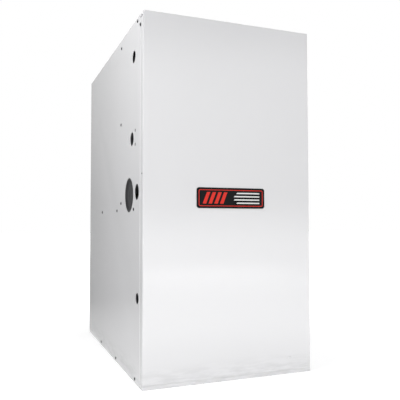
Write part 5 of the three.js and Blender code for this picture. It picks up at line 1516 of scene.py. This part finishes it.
def blowerFan():
    size = wheelShape
    low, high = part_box("blower_wheel")
    axis, half, outer = (low + high) / 2, (high.x - low.x) / 2, (high.z - low.z) / 2
    bore, inner, rim = shaftRadius() + 0.2 * mm, size["inner"], size["rim"]
    arc, face = size["arc"], 0.8 * mm
    swing = math.asin(((outer - inner) / 2 - size["margin"]) / arc)
    middle = -math.pi / 2 + math.radians(size["lean"])

    def wheel(shape):
        for side in (-1, 1):
            turnProfile(shape, [
                (inner + 0.6 * mm, 0.6 * mm), (inner + 2 * mm, 0), (outer - 2 * mm, 0),
                (outer - 0.6 * mm, 0.5 * mm), (outer, 1.6 * mm), (outer - 0.2 * mm, rim),
                (outer - 1.2 * mm, rim), (outer - 1.6 * mm, 1.8 * mm), (inner + 1 * mm, 1.6 * mm),
                (inner + 0.6 * mm, 0.6 * mm),
            ], towards((-side, 0, 0), (axis.x + side * half, axis.y, axis.z)), 84)
        turns = [middle - swing + 2 * swing * k / 5 for k in range(6)]
        near, far = ([((outer + inner) / 2 + radius * math.cos(turn),
                       arc + radius * math.sin(turn)) for turn in turns]
                     for radius in (arc, arc - size["thickness"]))
        for i in range(size["blades"]):
            place = facing("x", axis) @ Matrix.Rotation(math.tau * i / size["blades"], 4, "Z")
            raiseOutline(shape, near + far[::-1], -half + 1 * mm, half - 1 * mm, place)
        disc, hub, end = size["disc"], size["hub"], size["hubLength"] / 2
        start, stop = size["rib"]
        turnProfile(shape, [
            (bore, -end), (hub - 1 * mm, -end), (hub, -end + 1 * mm), (hub, -3 * mm), (hub + 5 * mm, -face),
            (start, -face), (start + 2 * mm, 1.2 * mm), (stop - 2 * mm, 1.2 * mm), (stop, -face),
            (disc, -face), (disc, face), (stop + 0.6 * mm, face), (stop - 1.4 * mm, 2.8 * mm),
            (start + 1.4 * mm, 2.8 * mm), (start - 0.6 * mm, face), (hub + 5 * mm, face), (hub, 3 * mm),
            (hub, end - 1 * mm), (hub - 1 * mm, end), (bore, end), (bore, -end),
        ], towards(rightward, axis), 72)
        x = axis.x - size["setScrew"]
        addRod(shape, (x, axis.y, axis.z + bore), (x, axis.y, axis.z + hub + 5 * mm), 4 * mm, 4, 0.5 * mm)

    addPiece(wheel, "blower_fan_wheel", "galvanised_steel", 32, "blower_wheel", "blower_wheel")


# Blower motor: a drawn can with vented end bells, through bolts and a clamping band on three arms.
blowerMotorShape = {"slots": 12, "slot": (20 * mm, 5 * mm), "bolts": 4, "bolt": 3.6 * mm, "boss": 19 * mm,
                    "boreDepth": 30 * mm, "arms": 3, "armWidth": 14 * mm, "armThickness": 3 * mm,
                    "corner": 4 * mm,
                    "rib": 1.6 * mm, "bandDepth": 1.8 * mm, "clampHalf": 4 * mm, "screwReach": 9 * mm}


def blowerMotorCan():
    size = blowerMotorShape
    low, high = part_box("blower_motor")
    axis, radius, length = (low + high) / 2, (high.z - low.z) / 2, high.x - low.x
    boss, bore, deep = size["boss"], shaftRadius() + 0.4 * mm, size["boreDepth"]
    bell = [(boss, 0.6 * mm), (boss, 5 * mm), (radius * 0.42, 5.4 * mm), (radius * 0.74, 7.4 * mm),
            (radius * 0.86, 9.6 * mm), (radius * 0.95, 14 * mm), (radius * 0.99, 20 * mm), (radius, 23 * mm),
            (radius, 30 * mm), (radius - 0.6 * mm, 30.6 * mm)]
    far = [(reach, length - along) for reach, along in reversed(bell)]
    place = towards(rightward, (low.x, axis.y, axis.z))

    def can(shape):
        turnProfile(shape, [(bore, 0), (boss - 0.8 * mm, 0), *bell, *far, (boss - 0.8 * mm, length),
                            (0, length),
                            (0, deep), (bore, deep), (bore, 0)], place, 96)

    def slots(shape):
        for i in range(size["slots"]):
            spin = place @ Matrix.Rotation(math.tau * i / size["slots"], 4, "Z")
            for start in (4 * mm, length - 12 * mm):
                raiseOutline(shape, roundedOutline(*size["slot"], 2.4 * mm, 4), start, start + 8 * mm,
                             spin @ Matrix.Translation((radius * 0.62, 0, 0)))

    piece = finishPiece(cutAway(meshFrom(can), meshFrom(slots)), "blower_motor_can", "black_paint",
                        "cabinet", 32)
    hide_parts("blower_motor")

    def bolts(shape):
        circle = radius * 0.86
        for i in range(size["bolts"]):
            turn = math.tau * (i + 0.5) / size["bolts"]
            y, z = axis.y + circle * math.cos(turn), axis.z + circle * math.sin(turn)
            addRod(shape, (high.x - 10.6 * mm, y, z), (high.x - 5 * mm, y, z), size["bolt"], 6, 0.5 * mm)

    addPiece(bolts, "blower_motor_bolts", "plain_steel", 32)


def blowerMotorBand():
    size = blowerMotorShape
    low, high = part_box("motor_band")
    motorLow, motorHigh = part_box("blower_motor")
    axis = (motorLow + motorHigh) / 2
    inner = (motorHigh.z - motorLow.z) / 2 + 0.3 * mm
    outer, reach = inner + size["bandDepth"], high.z - axis.z
    half, thick, corner, rib = size["armWidth"] / 2, size["armThickness"], size["corner"], size["rib"]
    middleX = (low.x + high.x) / 2
    armX = middleX - thick / 2
    turns = [math.pi / 2 + math.tau * i / size["arms"] for i in range(size["arms"])]

    def band(shape):
        turnProfile(shape, bandProfile(inner, outer, high.x - low.x, 0.4 * mm),
                    towards(rightward, (low.x, axis.y, axis.z)), 96)
        root, end = outer - 1 * mm, reach - corner
        ribStart, ribEnd = outer + 5 * mm, reach - 20 * mm
        for turn in turns:
            spin = facing("x", (armX, axis.y, axis.z)) @ Matrix.Rotation(turn, 4, "Z")
            raiseOutline(shape, [(root, -half), (end, -half), (reach, -half + corner), (reach, half - corner),
                                 (end, half), (root, half)], 0, thick, spin, 0.5 * mm)
            raiseOutline(shape, [(ribStart, -rib), (ribEnd, -rib), (ribEnd, rib), (ribStart, rib)],
                         thick - 0.2 * mm, thick + 1.2 * mm, spin, 0.6 * mm)

    def bolts(shape):
        circle, start = reach - 7 * mm, armX + thick
        for turn in turns:
            y, z = axis.y + circle * math.cos(turn), axis.z + circle * math.sin(turn)
            addRod(shape, (start, y, z), (start + 1 * mm, y, z), 6 * mm, 32, 0.3 * mm)
            addRod(shape, (start + 1 * mm, y, z), (start + 4.6 * mm, y, z), 4.2 * mm, 6, 0.6 * mm)
        clampZ = axis.z - outer - 4.4 * mm
        for side in (-1, 1):
            y = axis.y + side * size["clampHalf"]
            addBlock(shape, (low.x + 2 * mm, y - 0.8 * mm, clampZ - 5 * mm),
                     (high.x - 2 * mm, y + 0.8 * mm, axis.z - outer + 0.6 * mm), 0.3 * mm)
        head = axis.y - size["screwReach"]
        addRod(shape, (middleX, head, clampZ), (middleX, axis.y + size["screwReach"], clampZ), 2 * mm, 24)
        addRod(shape, (middleX, head, clampZ), (middleX, head + 4.1 * mm, clampZ), 4 * mm, 6)

    addPiece(band, "motor_clamp_band", "galvanised_steel", 32, "motor_band")
    addPiece(bolts, "motor_band_bolts", "plain_steel", 32)


# Run capacitor: a round can with a rolled rim and two pairs of blade terminals, held by a strap.
capacitorShape = {"rim": 1.2 * mm, "lidDrop": 2.5 * mm, "strap": 1.2 * mm, "gap": 0.3 * mm,
                  "screwEdge": 5 * mm,
                  "terminal": (6.3 * mm, 0.8 * mm, 7 * mm), "rows": 8 * mm, "pairs": 5 * mm,
                  "pad": (3.6 * mm, 9 * mm)}


def capacitorCan():
    size = capacitorShape
    low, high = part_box("run_capacitor")
    middle, radius, height = (low + high) / 2, (high.x - low.x) / 2, high.z - low.z
    strapLow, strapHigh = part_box("capacitor_strap")
    inner, sheet, drop = radius + size["gap"], size["strap"], size["lidDrop"]

    def can(shape):
        wall, lip = radius - 0.2 * mm, radius - size["rim"]
        turnProfile(shape, [
            (0, 1 * mm), (radius - 5 * mm, 1 * mm), (radius - 4 * mm, 0), (radius - 1.5 * mm, 0),
            (radius - 0.3 * mm, 0.8 * mm), (wall, 2 * mm), (wall, height - 6 * mm),
            (wall - 0.7 * mm, height - 4.6 * mm), (wall, height - 3.2 * mm), (radius, height - 1.2 * mm),
            (radius - size["rim"] / 2, height), (lip - 0.8 * mm, height - 0.8 * mm),
            (lip - 1 * mm, height - drop), (0, height - drop),
        ], towards(upward, (middle.x, middle.y, low.z)), 72)

    def lid(shape):
        addRod(shape, (middle.x, middle.y, high.z - drop), (middle.x, middle.y, high.z - drop + 0.9 * mm),
               radius - 3 * mm, 64)
        wide, long = size["pad"]
        for side in (-1, 1):
            x = middle.x + side * size["rows"]
            addBlock(shape, (x - wide, middle.y - long, high.z - 1.8 * mm),
                     (x + wide, middle.y + long, high.z + 0.6 * mm), 0.5 * mm)

    def tabs(shape):
        wide, thick, tall = size["terminal"]
        for side in (-1, 1):
            for along in (-size["pairs"], size["pairs"]):
                x, y = middle.x + side * size["rows"], middle.y + along
                addBlock(shape, (x - thick / 2, y - wide / 2, high.z),
                         (x + thick / 2, y + wide / 2, high.z + tall), 0.2 * mm)

    def strap(shape):
        turnProfile(shape, bandProfile(inner, inner + sheet, strapHigh.z - strapLow.z, 0.3 * mm),
                    towards(upward, (middle.x, middle.y, strapLow.z)), 72)
        for near, far in ((strapLow.y, middle.y - inner + 3 * mm), (middle.y + inner - 3 * mm, strapHigh.y)):
            addBlock(shape, (strapHigh.x - sheet, near, strapLow.z), (strapHigh.x, far, strapHigh.z),
                     0.4 * mm)

    addPiece(can, "capacitor_can", "cast_aluminium", 32, "run_capacitor")
    addPiece(lid, "capacitor_lid", "black_plastic", 32)
    addPiece(tabs, "capacitor_terminals", "plain_steel", 32)
    addPiece(strap, "capacitor_clamp", "galvanised_steel", 32, "capacitor_strap")
    ends = (strapLow.y + size["screwEdge"], strapHigh.y - size["screwEdge"])
    screwSet("capacitor_screws", (-1, 0, 0),
             [(strapHigh.x - sheet, y, (strapLow.z + strapHigh.z) / 2) for y in ends], 0.75)


blowerScroll()
blowerFan()
blowerMotorCan()
blowerMotorBand()
capacitorCan()
print("blower made")


# Parts of the control board, in mm from its lower left corner: left, right, lower and upper edges, or places.
boardShape = {
    "thickness": 1.6 * mm,
    "relays": [(46.5, 65.5, 60, 79), (70.5, 89.5, 60, 79), (94.5, 113.5, 60, 79)],
    "relayHeight": 15 * mm,
    "plugs": (6, 16, 16, 86), "plugHeight": 9 * mm, "plugCount": 12,
    "tabs": (28, 100, 5, 14), "tabHeight": 8 * mm, "tabCount": 9,
    "cans": [(124, 24, 8, 20), (74, 30, 3.2, 9), (82, 28, 3.2, 9), (104, 27, 4.2, 9), (122, 44, 3.6, 9),
             (36, 30, 3.2, 9)],  # place, radius and height
    "chips": [(30, 48, 40, 46), (60, 67, 38, 45), (84, 98, 36, 42)],
    "legPitch": 2.2,
    "resistors": [(28, 54), (28, 58), (28, 62), (54, 52), (62, 52), (100, 50), (108, 50), (118, 56),
                  (118, 60)],
    "fuse": (118, 132, 84, 90),
    "screws": [(6, 6), (134, 6), (6, 98), (134, 98)],
}


def controlBoardParts():
    size = boardShape
    low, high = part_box("control_board")
    corner = Vector((low.x, high.y - size["thickness"], low.z))
    front = corner.y

    def slab(shape, edges, reach, bevel=0.3 * mm):
        left, right, bottom, top = (edge * mm for edge in edges)
        addBlock(shape, (corner.x + left, front - reach, corner.z + bottom),
                 (corner.x + right, front + 0.2 * mm, corner.z + top), bevel)

    def board(shape):
        raiseOutline(shape, roundedOutline(high.x - low.x, high.z - low.z, 2 * mm), 0, size["thickness"],
                     facing("y", ((low.x + high.x) / 2, high.y, (low.z + high.z) / 2)))

    def relays(shape):
        for edges in size["relays"]:
            slab(shape, edges, size["relayHeight"], 0.8 * mm)

    def plugs(shape):
        left, right, bottom, top = size["plugs"]
        slab(shape, size["plugs"], size["plugHeight"] * 0.7)
        step = (top - bottom) / size["plugCount"]
        for k in range(size["plugCount"]):
            start = bottom + k * step
            slab(shape, (left + 1, right - 3, start + 0.8, start + step - 0.8), size["plugHeight"])

    def tabs(shape):
        left, right, bottom, top = size["tabs"]
        middle, count = (bottom + top) / 2, size["tabCount"]
        for k in range(count):
            start = left + (right - left) * (k + 0.15) / count
            slab(shape, (start, start + 5.6, middle - 0.4, middle + 0.4), size["tabHeight"], 0.1 * mm)
        slab(shape, (left, right, bottom + 2, top - 2), 1.4 * mm)

    def chips(shape):
        for edges in size["chips"]:
            slab(shape, edges, 2.6 * mm)
        slab(shape, size["fuse"], 4 * mm, 0.6 * mm)

    def legs(shape):
        for left, right, bottom, top in size["chips"]:
            count = int((right - left) / size["legPitch"])
            for k in range(count):
                x = left + 1 + k * (right - left - 2) / max(1, count - 1)
                for edge in (bottom - 0.9, top):
                    slab(shape, (x - 0.35, x + 0.35, edge, edge + 0.9), 0.9 * mm, 0)

    def resistors(shape):
        for x, z in size["resistors"]:
            turnProfile(shape, [
                (0, 0), (0.9 * mm, 0.1 * mm), (1.25 * mm, 0.6 * mm), (1 * mm, 1.4 * mm), (1 * mm, 4.4 * mm),
                (1.25 * mm, 5.2 * mm), (0.9 * mm, 5.7 * mm), (0, 5.8 * mm),
            ], towards(rightward, (corner.x + x * mm, front - 1.5 * mm, corner.z + z * mm)), 20)

    def cans(shape):
        for x, z, radius, height in size["cans"]:
            wide, tall = radius * mm, height * mm
            turnProfile(shape, [
                (0, 0), (wide - 0.4 * mm, 0), (wide, 0.5 * mm), (wide - 0.5 * mm, 1.6 * mm), (wide, 2.6 * mm),
                (wide, tall - 0.6 * mm), (wide - 0.6 * mm, tall), (wide * 0.8, tall - 0.2 * mm),
                (0, tall - 0.2 * mm),
            ], towards(forward, (corner.x + x * mm, front + 0.1 * mm, corner.z + z * mm)), 36)

    addPiece(board, "board_laminate", "circuit_board", 35, "control_board")
    for build, name, finish in (
            (relays, "board_relays", "black_plastic"), (plugs, "board_plugs", "white_plastic"),
            (tabs, "board_tabs", "plain_steel"), (chips, "board_chips", "black_plastic"),
            (legs, "chip_legs", "plain_steel"), (resistors, "board_resistors", "ceramic"),
            (cans, "board_capacitors", "black_paint")):
        addPiece(build, name, finish)
    screwSet("board_screws", forward,
             [(corner.x + x * mm, front, corner.z + z * mm) for x, z in size["screws"]], 0.7)


# Transformer: stacked core plates, taped winding, feet and terminals.
transformerShape = {"plates": 21, "step": 0.25 * mm, "stand": 10 * mm, "foot": 8 * mm, "footHeight": 35 * mm,
                    "footSheet": 2 * mm, "winding": 30 * mm, "rim": 1.5 * mm, "terminals": 4,
                    "terminal": 4.8 * mm}


def transformerParts():
    size = transformerShape
    low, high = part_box("transformer")
    middle, half, rim = (low + high) / 2, size["winding"] / 2, size["rim"]
    coreLow = low + Vector((size["foot"], 0, size["stand"]))
    coreHigh = high - Vector((size["foot"], 0, size["stand"]))
    step = (coreHigh.y - coreLow.y) / size["plates"]
    place = facing("z", (middle.x, middle.y, 0))

    def plates(shape):
        for k in range(size["plates"]):
            inset, y = size["step"] * (k % 2), coreLow.y + k * step
            addBlock(shape, (coreLow.x + inset, y, coreLow.z + inset),
                     (coreHigh.x - inset, y + step, coreHigh.z - inset))
        addBlock(shape, (low.x, high.y - size["footSheet"], middle.z - size["footHeight"] / 2),
                 (high.x, high.y, middle.z + size["footHeight"] / 2), 0.4 * mm)

    def winding(shape):
        wide = 2 * half - 1 * mm
        for start, end in ((low.z + rim, coreLow.z), (coreHigh.z, high.z - rim)):
            raiseOutline(shape, roundedOutline(wide, wide, 5 * mm), start, end, place, 0.6 * mm)

    def bobbin(shape):
        for start in (low.z, coreLow.z - 1.2 * mm, coreHigh.z, high.z - rim):
            raiseOutline(shape, roundedOutline(2 * half, 2 * half, 4 * mm), start, start + rim, place,
                         0.3 * mm)

    def tabs(shape):
        start, y, wide = middle.x - half + 4 * mm, middle.y - half + 2 * mm, size["terminal"] / 2
        for k in range(size["terminals"]):
            x = start + k * (2 * half - 8 * mm) / (size["terminals"] - 1)
            addBlock(shape, (x - wide, y, high.z - 0.5 * mm), (x + wide, y + 0.8 * mm, high.z + 6 * mm),
                     0.2 * mm)

    addPiece(plates, "transformer_core", "black_paint", 30, "transformer")
    addPiece(winding, "transformer_winding", "copper")
    addPiece(bobbin, "transformer_bobbin", "white_plastic")
    addPiece(tabs, "transformer_terminals", "brass")
    screwSet("transformer_screws", forward,
             [(x, high.y - size["footSheet"], middle.z) for x in (low.x + size["foot"] / 2,
                                                                  high.x - size["foot"] / 2)],
             0.7)


# The door switch's collar and blade terminals.
switchFittings = {"collar": 7.4 * mm, "hole": 4.9 * mm, "terminal": (6.3 * mm, 0.8 * mm, 7.5 * mm),
                  "pitch": 8 * mm,
                  "screw": 17 * mm}


def doorSwitchFittings():
    size = switchFittings
    plunger = middleOf("door_switch_plunger")
    front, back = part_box("door_switch_bracket")[0].y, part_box("door_switch")[1].y

    def collar(shape):
        wide, hole = size["collar"], size["hole"]
        turnProfile(shape, [(hole, 0), (wide, 0), (wide, 0.6 * mm), (wide - 0.6 * mm, 1.1 * mm),
                            (hole, 1.1 * mm),
                            (hole, 0)], towards(forward, (plunger.x, front, plunger.z)), 48)

    def tabs(shape):
        width, thick, reach = size["terminal"]
        for k in (-1, 0, 1):
            z, y = plunger.z + k * size["pitch"], back - 0.5 * mm
            addBlock(shape, (plunger.x - width / 2, y, z - thick / 2),
                     (plunger.x + width / 2, y + reach, z + thick / 2), 0.2 * mm)

    addPiece(collar, "door_switch_collar", "black_plastic")
    addPiece(tabs, "door_switch_terminals", "brass")
    screwSet("door_switch_screws", forward,
             [(plunger.x, front, plunger.z + side * size["screw"]) for side in (-1, 1)], 0.65)


# The junction box's embossed cover.
coverShape = {"corner": 5 * mm, "border": 13 * mm, "emboss": 1.6 * mm, "knockout": 11 * mm, "screw": 7 * mm}


def junctionCover():
    size = coverShape
    low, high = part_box("junction_box_cover")
    middle, wide, tall, thick = (low + high) / 2, high.y - low.y, high.z - low.z, high.x - low.x
    place = facing("x", (low.x, middle.y, middle.z))

    def cover(shape):
        border, ring, raised = 2 * size["border"], size["knockout"], thick + size["emboss"]
        raiseOutline(shape, roundedOutline(wide, tall, size["corner"]), 0, thick, place, 0.4 * mm)
        raiseOutline(shape, roundedOutline(wide - border, tall - border, 6 * mm), thick - 0.2 * mm, raised,
                     place, 1.2 * mm)
        turnProfile(shape, [(ring, 0), (ring - 0.5 * mm, 0.4 * mm), (ring - 1 * mm, 0.4 * mm),
                            (ring - 1.4 * mm, 0),
                            (ring, 0)], towards(rightward, (low.x + raised, middle.y, middle.z)), 48)

    addPiece(cover, "junction_cover", "galvanised_steel", 35, "junction_box_cover")
    reach = wide / 2 - size["screw"]
    screwSet("junction_cover_screws", rightward, [(high.x, middle.y + side * reach,
                                                   middle.z) for side in (-1, 1)], 0.8)


# Limit switch: a thermal disc on a flange, and its sensing tube behind the vestibule panel.
limitShape = {"flangeHeight": 17.6 * mm, "sheet": 1.2 * mm, "cap": 13 * mm, "tube": 8 * mm,
              "terminal": (6.3 * mm, 0.8 * mm, 8 * mm), "terminalAt": 12 * mm, "screw": 17.6 * mm}


def limitSwitchParts():
    size = limitShape
    low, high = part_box("limit_switch")
    x, z, cap = (low.x + high.x) / 2, (low.z + high.z) / 2, size["cap"]
    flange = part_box("vestibule_panel")[0].y

    def disc(shape):
        raiseOutline(shape, roundedOutline(high.x - low.x, size["flangeHeight"], 8 * mm), 0, size["sheet"],
                     facing("y", (x, flange - 0.2 * mm, z)), 0.3 * mm)
        wall, depth = cap - 0.8 * mm, flange - low.y - 1 * mm
        turnProfile(shape, [
            (0, 1 * mm), (4 * mm, 1 * mm), (4.4 * mm, 0), (cap - 1.2 * mm, 0), (cap - 0.2 * mm, 1 * mm),
            (cap, 2 * mm), (cap, 6 * mm), (wall, 7 * mm), (wall, depth), (0, depth),
        ], towards(rearward, (x, low.y, z)), 56)
        addRod(shape, (x, flange - 2 * mm, z), (x, high.y, z), size["tube"], 40, 1.2 * mm)

    def tabs(shape):
        width, thick, reach = size["terminal"]
        y = low.y + 6 * mm
        for side in (-1, 1):
            bottom, top = sorted((z + side * size["terminalAt"], z + side * (size["terminalAt"] + reach)))
            addBlock(shape, (x - width / 2, y, bottom), (x + width / 2, y + thick, top), 0.2 * mm)

    addPiece(disc, "limit_disc", "plain_steel", 35, "limit_switch")
    addPiece(tabs, "limit_terminals", "brass")
    screwSet("limit_screws", forward, [(x + side * size["screw"], flange - 1.4 * mm, z) for side in (-1,
                                                                                                     1)], 0.6)


# Screws of the inner sheets: vestibule panel, cross rail, collector and control panel.
innerScrewPlaces = {"panel": 206 * mm, "panelHeights": (0.47, 0.55, 0.64, 0.84), "rail": 200 * mm,
                    "collector": (0.3, 0.95), "collectorEdge": 4 * mm, "controlEdge": 8 * mm}


def innerScrews():
    places = innerScrewPlaces
    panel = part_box("vestibule_panel")[0]
    railLow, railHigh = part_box("cross_rail")
    collectorLow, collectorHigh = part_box("collector_box")
    controlLow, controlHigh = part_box("control_panel")
    edge, margin = places["collectorEdge"], places["controlEdge"]
    collectorReach = collectorHigh.x - 2 * edge
    points = []
    for side in (-1, 1):
        points += [(side * places["panel"], panel.y, height) for height in places["panelHeights"]]
        points += [(side * share * collectorReach, collectorHigh.y - 1.2 * mm, height)
                   for height in (collectorLow.z + edge,
                                  collectorHigh.z - edge) for share in places["collector"]]
        points += [(side * places["rail"], railLow.y, (railLow.z + railHigh.z) / 2)]
        points += [(side * (controlHigh.x - margin), controlLow.y, height)
                   for height in (controlLow.z + margin, controlHigh.z - margin)]
    screwSet("inner_screws", forward, points, 0.8)


controlBoardParts()
transformerParts()
doorSwitchFittings()
junctionCover()
limitSwitchParts()
innerScrews()
print("controls made")


studio = {
    "floorSize": 36,
    "floorDrop": 0.0002,  # below the base
    "floorColor": (0.74, 0.74, 0.74),
    "nearLift": 0.5,  # light added to the floor where the camera sees it, beside the object
    "farLift": 0.86,
    "lampDip": (-0.14, 1.2, 2.4),  # light taken off where the front softbox shines, and where that sets in
    "rearLift": (0.26, 3.0, 5.5),  # light added far off, and where that sets in
    "fade": (0.45, 0.95),  # distances between which the shadow fades out
    "room": 0.38,  # world light on the object
    "wallRadius": 16,
    "wallHeight": 11,
    "wall": (0.62, 0.0),  # strength below and above
    "wallFade": (5.4, 7.2),  # heights between which the wall goes dark
    "cardReach": 3.2,
    "cardLength": 6.0,
    "cardHeight": 7,
    "cardBend": 1.5,
    "card": (0.8, 0.34),  # strength beside the cabinet and further off
    "cardFade": (-0.1, 1.1),
    "cardGap": 0.004,  # from the cabinet's side
    "cardFront": (0.01, 0.25),  # start behind the door's face, and depth of the soft front edge
    "cardLift": 0.001,
    "cardSoft": 0.01,  # width of its soft side at 1 m behind the door, growing with the distance squared
    "cardRise": (0.45, 0.6, 3.6),  # strength added up its far end, and between which heights
    "wallGlow": (0.42, 0.3, 0.95),  # strength added at the foot of the wall, and where it fades out
}


# One where the camera or a mirror sees a surface, and nought where it only lights others.
def seenRays(tree):
    rays = addNode(tree, "ShaderNodeLightPath").outputs
    seen = sumOf(tree, "MAXIMUM", rays["Is Camera Ray"], rays["Is Glossy Ray"])
    return sumOf(tree, "MAXIMUM", seen, rays["Is Transmission Ray"])


def twoShaders(tree, kind, first, second, **inputs):
    node = addNode(tree, kind, **inputs)
    for socket, shader in zip([each for each in node.inputs if each.type == "SHADER"], (first, second)):
        tree.links.new(shader.outputs[0], socket)
    return node


def glowOf(tree, strength):
    return addNode(tree, "ShaderNodeEmission", Color=(1, 1, 1, 1), Strength=strength)


# Puts a thing of the studio in the scene, with the material that its shader makes.
def addStage(name, mesh, shader):
    material = bpy.data.materials.new(name)
    bareTree(material, "ShaderNodeOutputMaterial", shader)
    mesh.materials.append(material)
    thing = addObject(name, mesh)
    return thing


# Adds a soft light of its own to the paper where the camera or a mirror sees it.
def buildFloor():
    size = studio["floorSize"] / 2
    mesh = bpy.data.meshes.new("studio_floor")
    mesh.from_pydata([(-size, -size, 0), (size, -size, 0), (size, size, 0), (-size, size, 0)], [],
                     [(0, 1, 2, 3)])

    def paperShader(tree):
        paper = addNode(tree, "ShaderNodeBsdfDiffuse", Color=(*studio["floorColor"], 1))
        place = addNode(tree, "ShaderNodeTexCoord").outputs["Object"]
        reach = addNode(tree, "ShaderNodeVectorMath", {"operation": "LENGTH"}, Vector=place).outputs["Value"]
        lift = spread(tree, reach, studio["nearLift"], studio["farLift"], *studio["fade"])
        for gain, start, end in (studio["lampDip"], studio["rearLift"]):
            lift = sumOf(tree, "ADD", lift, spread(tree, reach, 0.0, gain, start, end))
        lit = twoShaders(tree, "ShaderNodeAddShader", paper, glowOf(tree, lift))
        return twoShaders(tree, "ShaderNodeMixShader", paper, lit, Fac=seenRays(tree))

    addStage("studio_floor", mesh, paperShader).location.z = cadBox[0].z - studio["floorDrop"]


# Something that shows only as a reflection in the enamel.
def reflectedOnly(name, mesh, shader):
    thing = addStage(name, mesh, shader)
    thing.visible_camera = thing.visible_diffuse = thing.visible_transmission = thing.visible_shadow = False


# The studio's grey wall, far off all round, and dark at the top.
def buildWall():
    def ring(shape):
        radius, turns = studio["wallRadius"], [math.tau * i / 64 for i in range(64)]
        foot, top = ([shape.verts.new((radius * math.cos(turn), radius * math.sin(turn),
                                       z)) for turn in turns]
                     for z in (0, studio["wallHeight"]))
        joinRings(shape, foot, top)

    def fading(tree):
        height = axesOf(tree)["Z"]
        glow, full, gone = studio["wallGlow"]
        foot = spread(tree, height, glow, 0.0, full, gone)
        return glowOf(tree, sumOf(tree, "ADD", spread(tree, height, *studio["wall"], *studio["wallFade"]),
                                  foot))

    reflectedOnly("studio_wall", meshFrom(ring), fading)


# A grey card on the floor beside the left panel, curved up at its far end.
# Its near side and its front edge are soft, so that no hard edge shows in the enamel.
def buildCard():
    def sheetShape(shape):
        near, far = -cabinetHigh.x - studio["cardGap"], -studio["cardReach"]
        bend, end, lift = studio["cardBend"], studio["cardLength"], studio["cardLift"]
        route = [(doorFace + studio["cardFront"][0], lift), (end - bend, lift)]
        for i in range(1, 13):
            turn = math.pi / 2 * i / 12
            route.append((end - bend + bend * math.sin(turn), bend * (1 - math.cos(turn))))
        route.append((end, studio["cardHeight"]))
        rows = [[shape.verts.new((x, y, z)) for x in (near, far)] for y, z in route]
        for first, second in zip(rows, rows[1:]):
            shape.faces.new((first[0], first[1], second[1], second[0]))

    def softCard(tree):
        apart = axesOf(tree)
        strength = sumOf(tree, "ADD", spread(tree, apart["Y"], *studio["card"], *studio["cardFade"]),
                         spread(tree, apart["Z"], 0.0, *studio["cardRise"]))
        behind = sumOf(tree, "SUBTRACT", apart["Y"], doorFace)
        beside = sumOf(tree, "SUBTRACT", -cabinetHigh.x, apart["X"])
        width = sumOf(tree, "MULTIPLY", sumOf(tree, "MULTIPLY", behind, behind), studio["cardSoft"])
        front = spread(tree, behind, 0.0, 1.0, 0.0, studio["cardFront"][1])
        cover = sumOf(tree, "MINIMUM", sumOf(tree, "DIVIDE", beside, width), front)
        clear = addNode(tree, "ShaderNodeBsdfTransparent")
        return twoShaders(tree, "ShaderNodeMixShader", clear, glowOf(tree, strength), Fac=cover)

    reflectedOnly("studio_card", meshFrom(sheetShape), softCard)


def buildWorld():
    world = bpy.data.worlds.new("studio")
    scene.world = world

    def background(tree):
        strength = sumOf(tree, "MAXIMUM", seenRays(tree), studio["room"])
        return addNode(tree, "ShaderNodeBackground", Color=(1, 1, 1, 1), Strength=strength)

    bareTree(world, "ShaderNodeOutputWorld", background)


# Place, aim, width, height and power of each softbox.
softboxes = {
    "front_softbox": ((0.85, -3.2, 1.2), (0.05, -0.36, 0.45), 2.4, 2.0, 44),
    "left_softbox": ((-1.05, -0.56, 0.95), (-0.222, -0.25, 0.6), 0.4, 1.0, 6.2),
    "top_softbox": ((0.2, 0.4, 3.0), (0.0, 0.0, 0.6), 2.2, 2.2, 22),
}


def buildLamps():
    for name, (place, aim, width, height, power) in softboxes.items():
        lamp = bpy.data.lights.new(name, "AREA")
        lamp.shape = "RECTANGLE"
        lamp.size, lamp.size_y = width, height
        lamp.energy = power
        thing = addObject(name, lamp)
        thing.location = place
        thing.rotation_euler = (Vector(aim) - Vector(place)).to_track_quat("-Z", "Y").to_euler()
        thing.visible_camera = thing.visible_glossy = False


# The photograph's viewpoint.
viewpoint = {"place": (-0.5389, -1.5264, 0.3803), "lens": 47.44, "turn": -21.304, "tilt": 2.461,
             "roll": -0.06}


def buildCamera():
    lens = bpy.data.cameras.new("camera")
    lens.lens = viewpoint["lens"]
    lens.sensor_width = 36
    lens.clip_start, lens.clip_end = 0.05, 60
    camera = addObject("camera", lens)
    turn = Matrix.Rotation(math.radians(viewpoint["turn"]), 4, "Z")
    tilt = Matrix.Rotation(math.radians(90 + viewpoint["tilt"]), 4, "X")
    roll = Matrix.Rotation(math.radians(viewpoint["roll"]), 4, "Z")
    camera.matrix_world = Matrix.Translation(viewpoint["place"]) @ turn @ tilt @ roll
    scene.camera = camera


buildFloor()
buildWall()
buildCard()
buildWorld()
buildLamps()
buildCamera()
scene.view_settings.view_transform = "Standard"
print("studio ready")
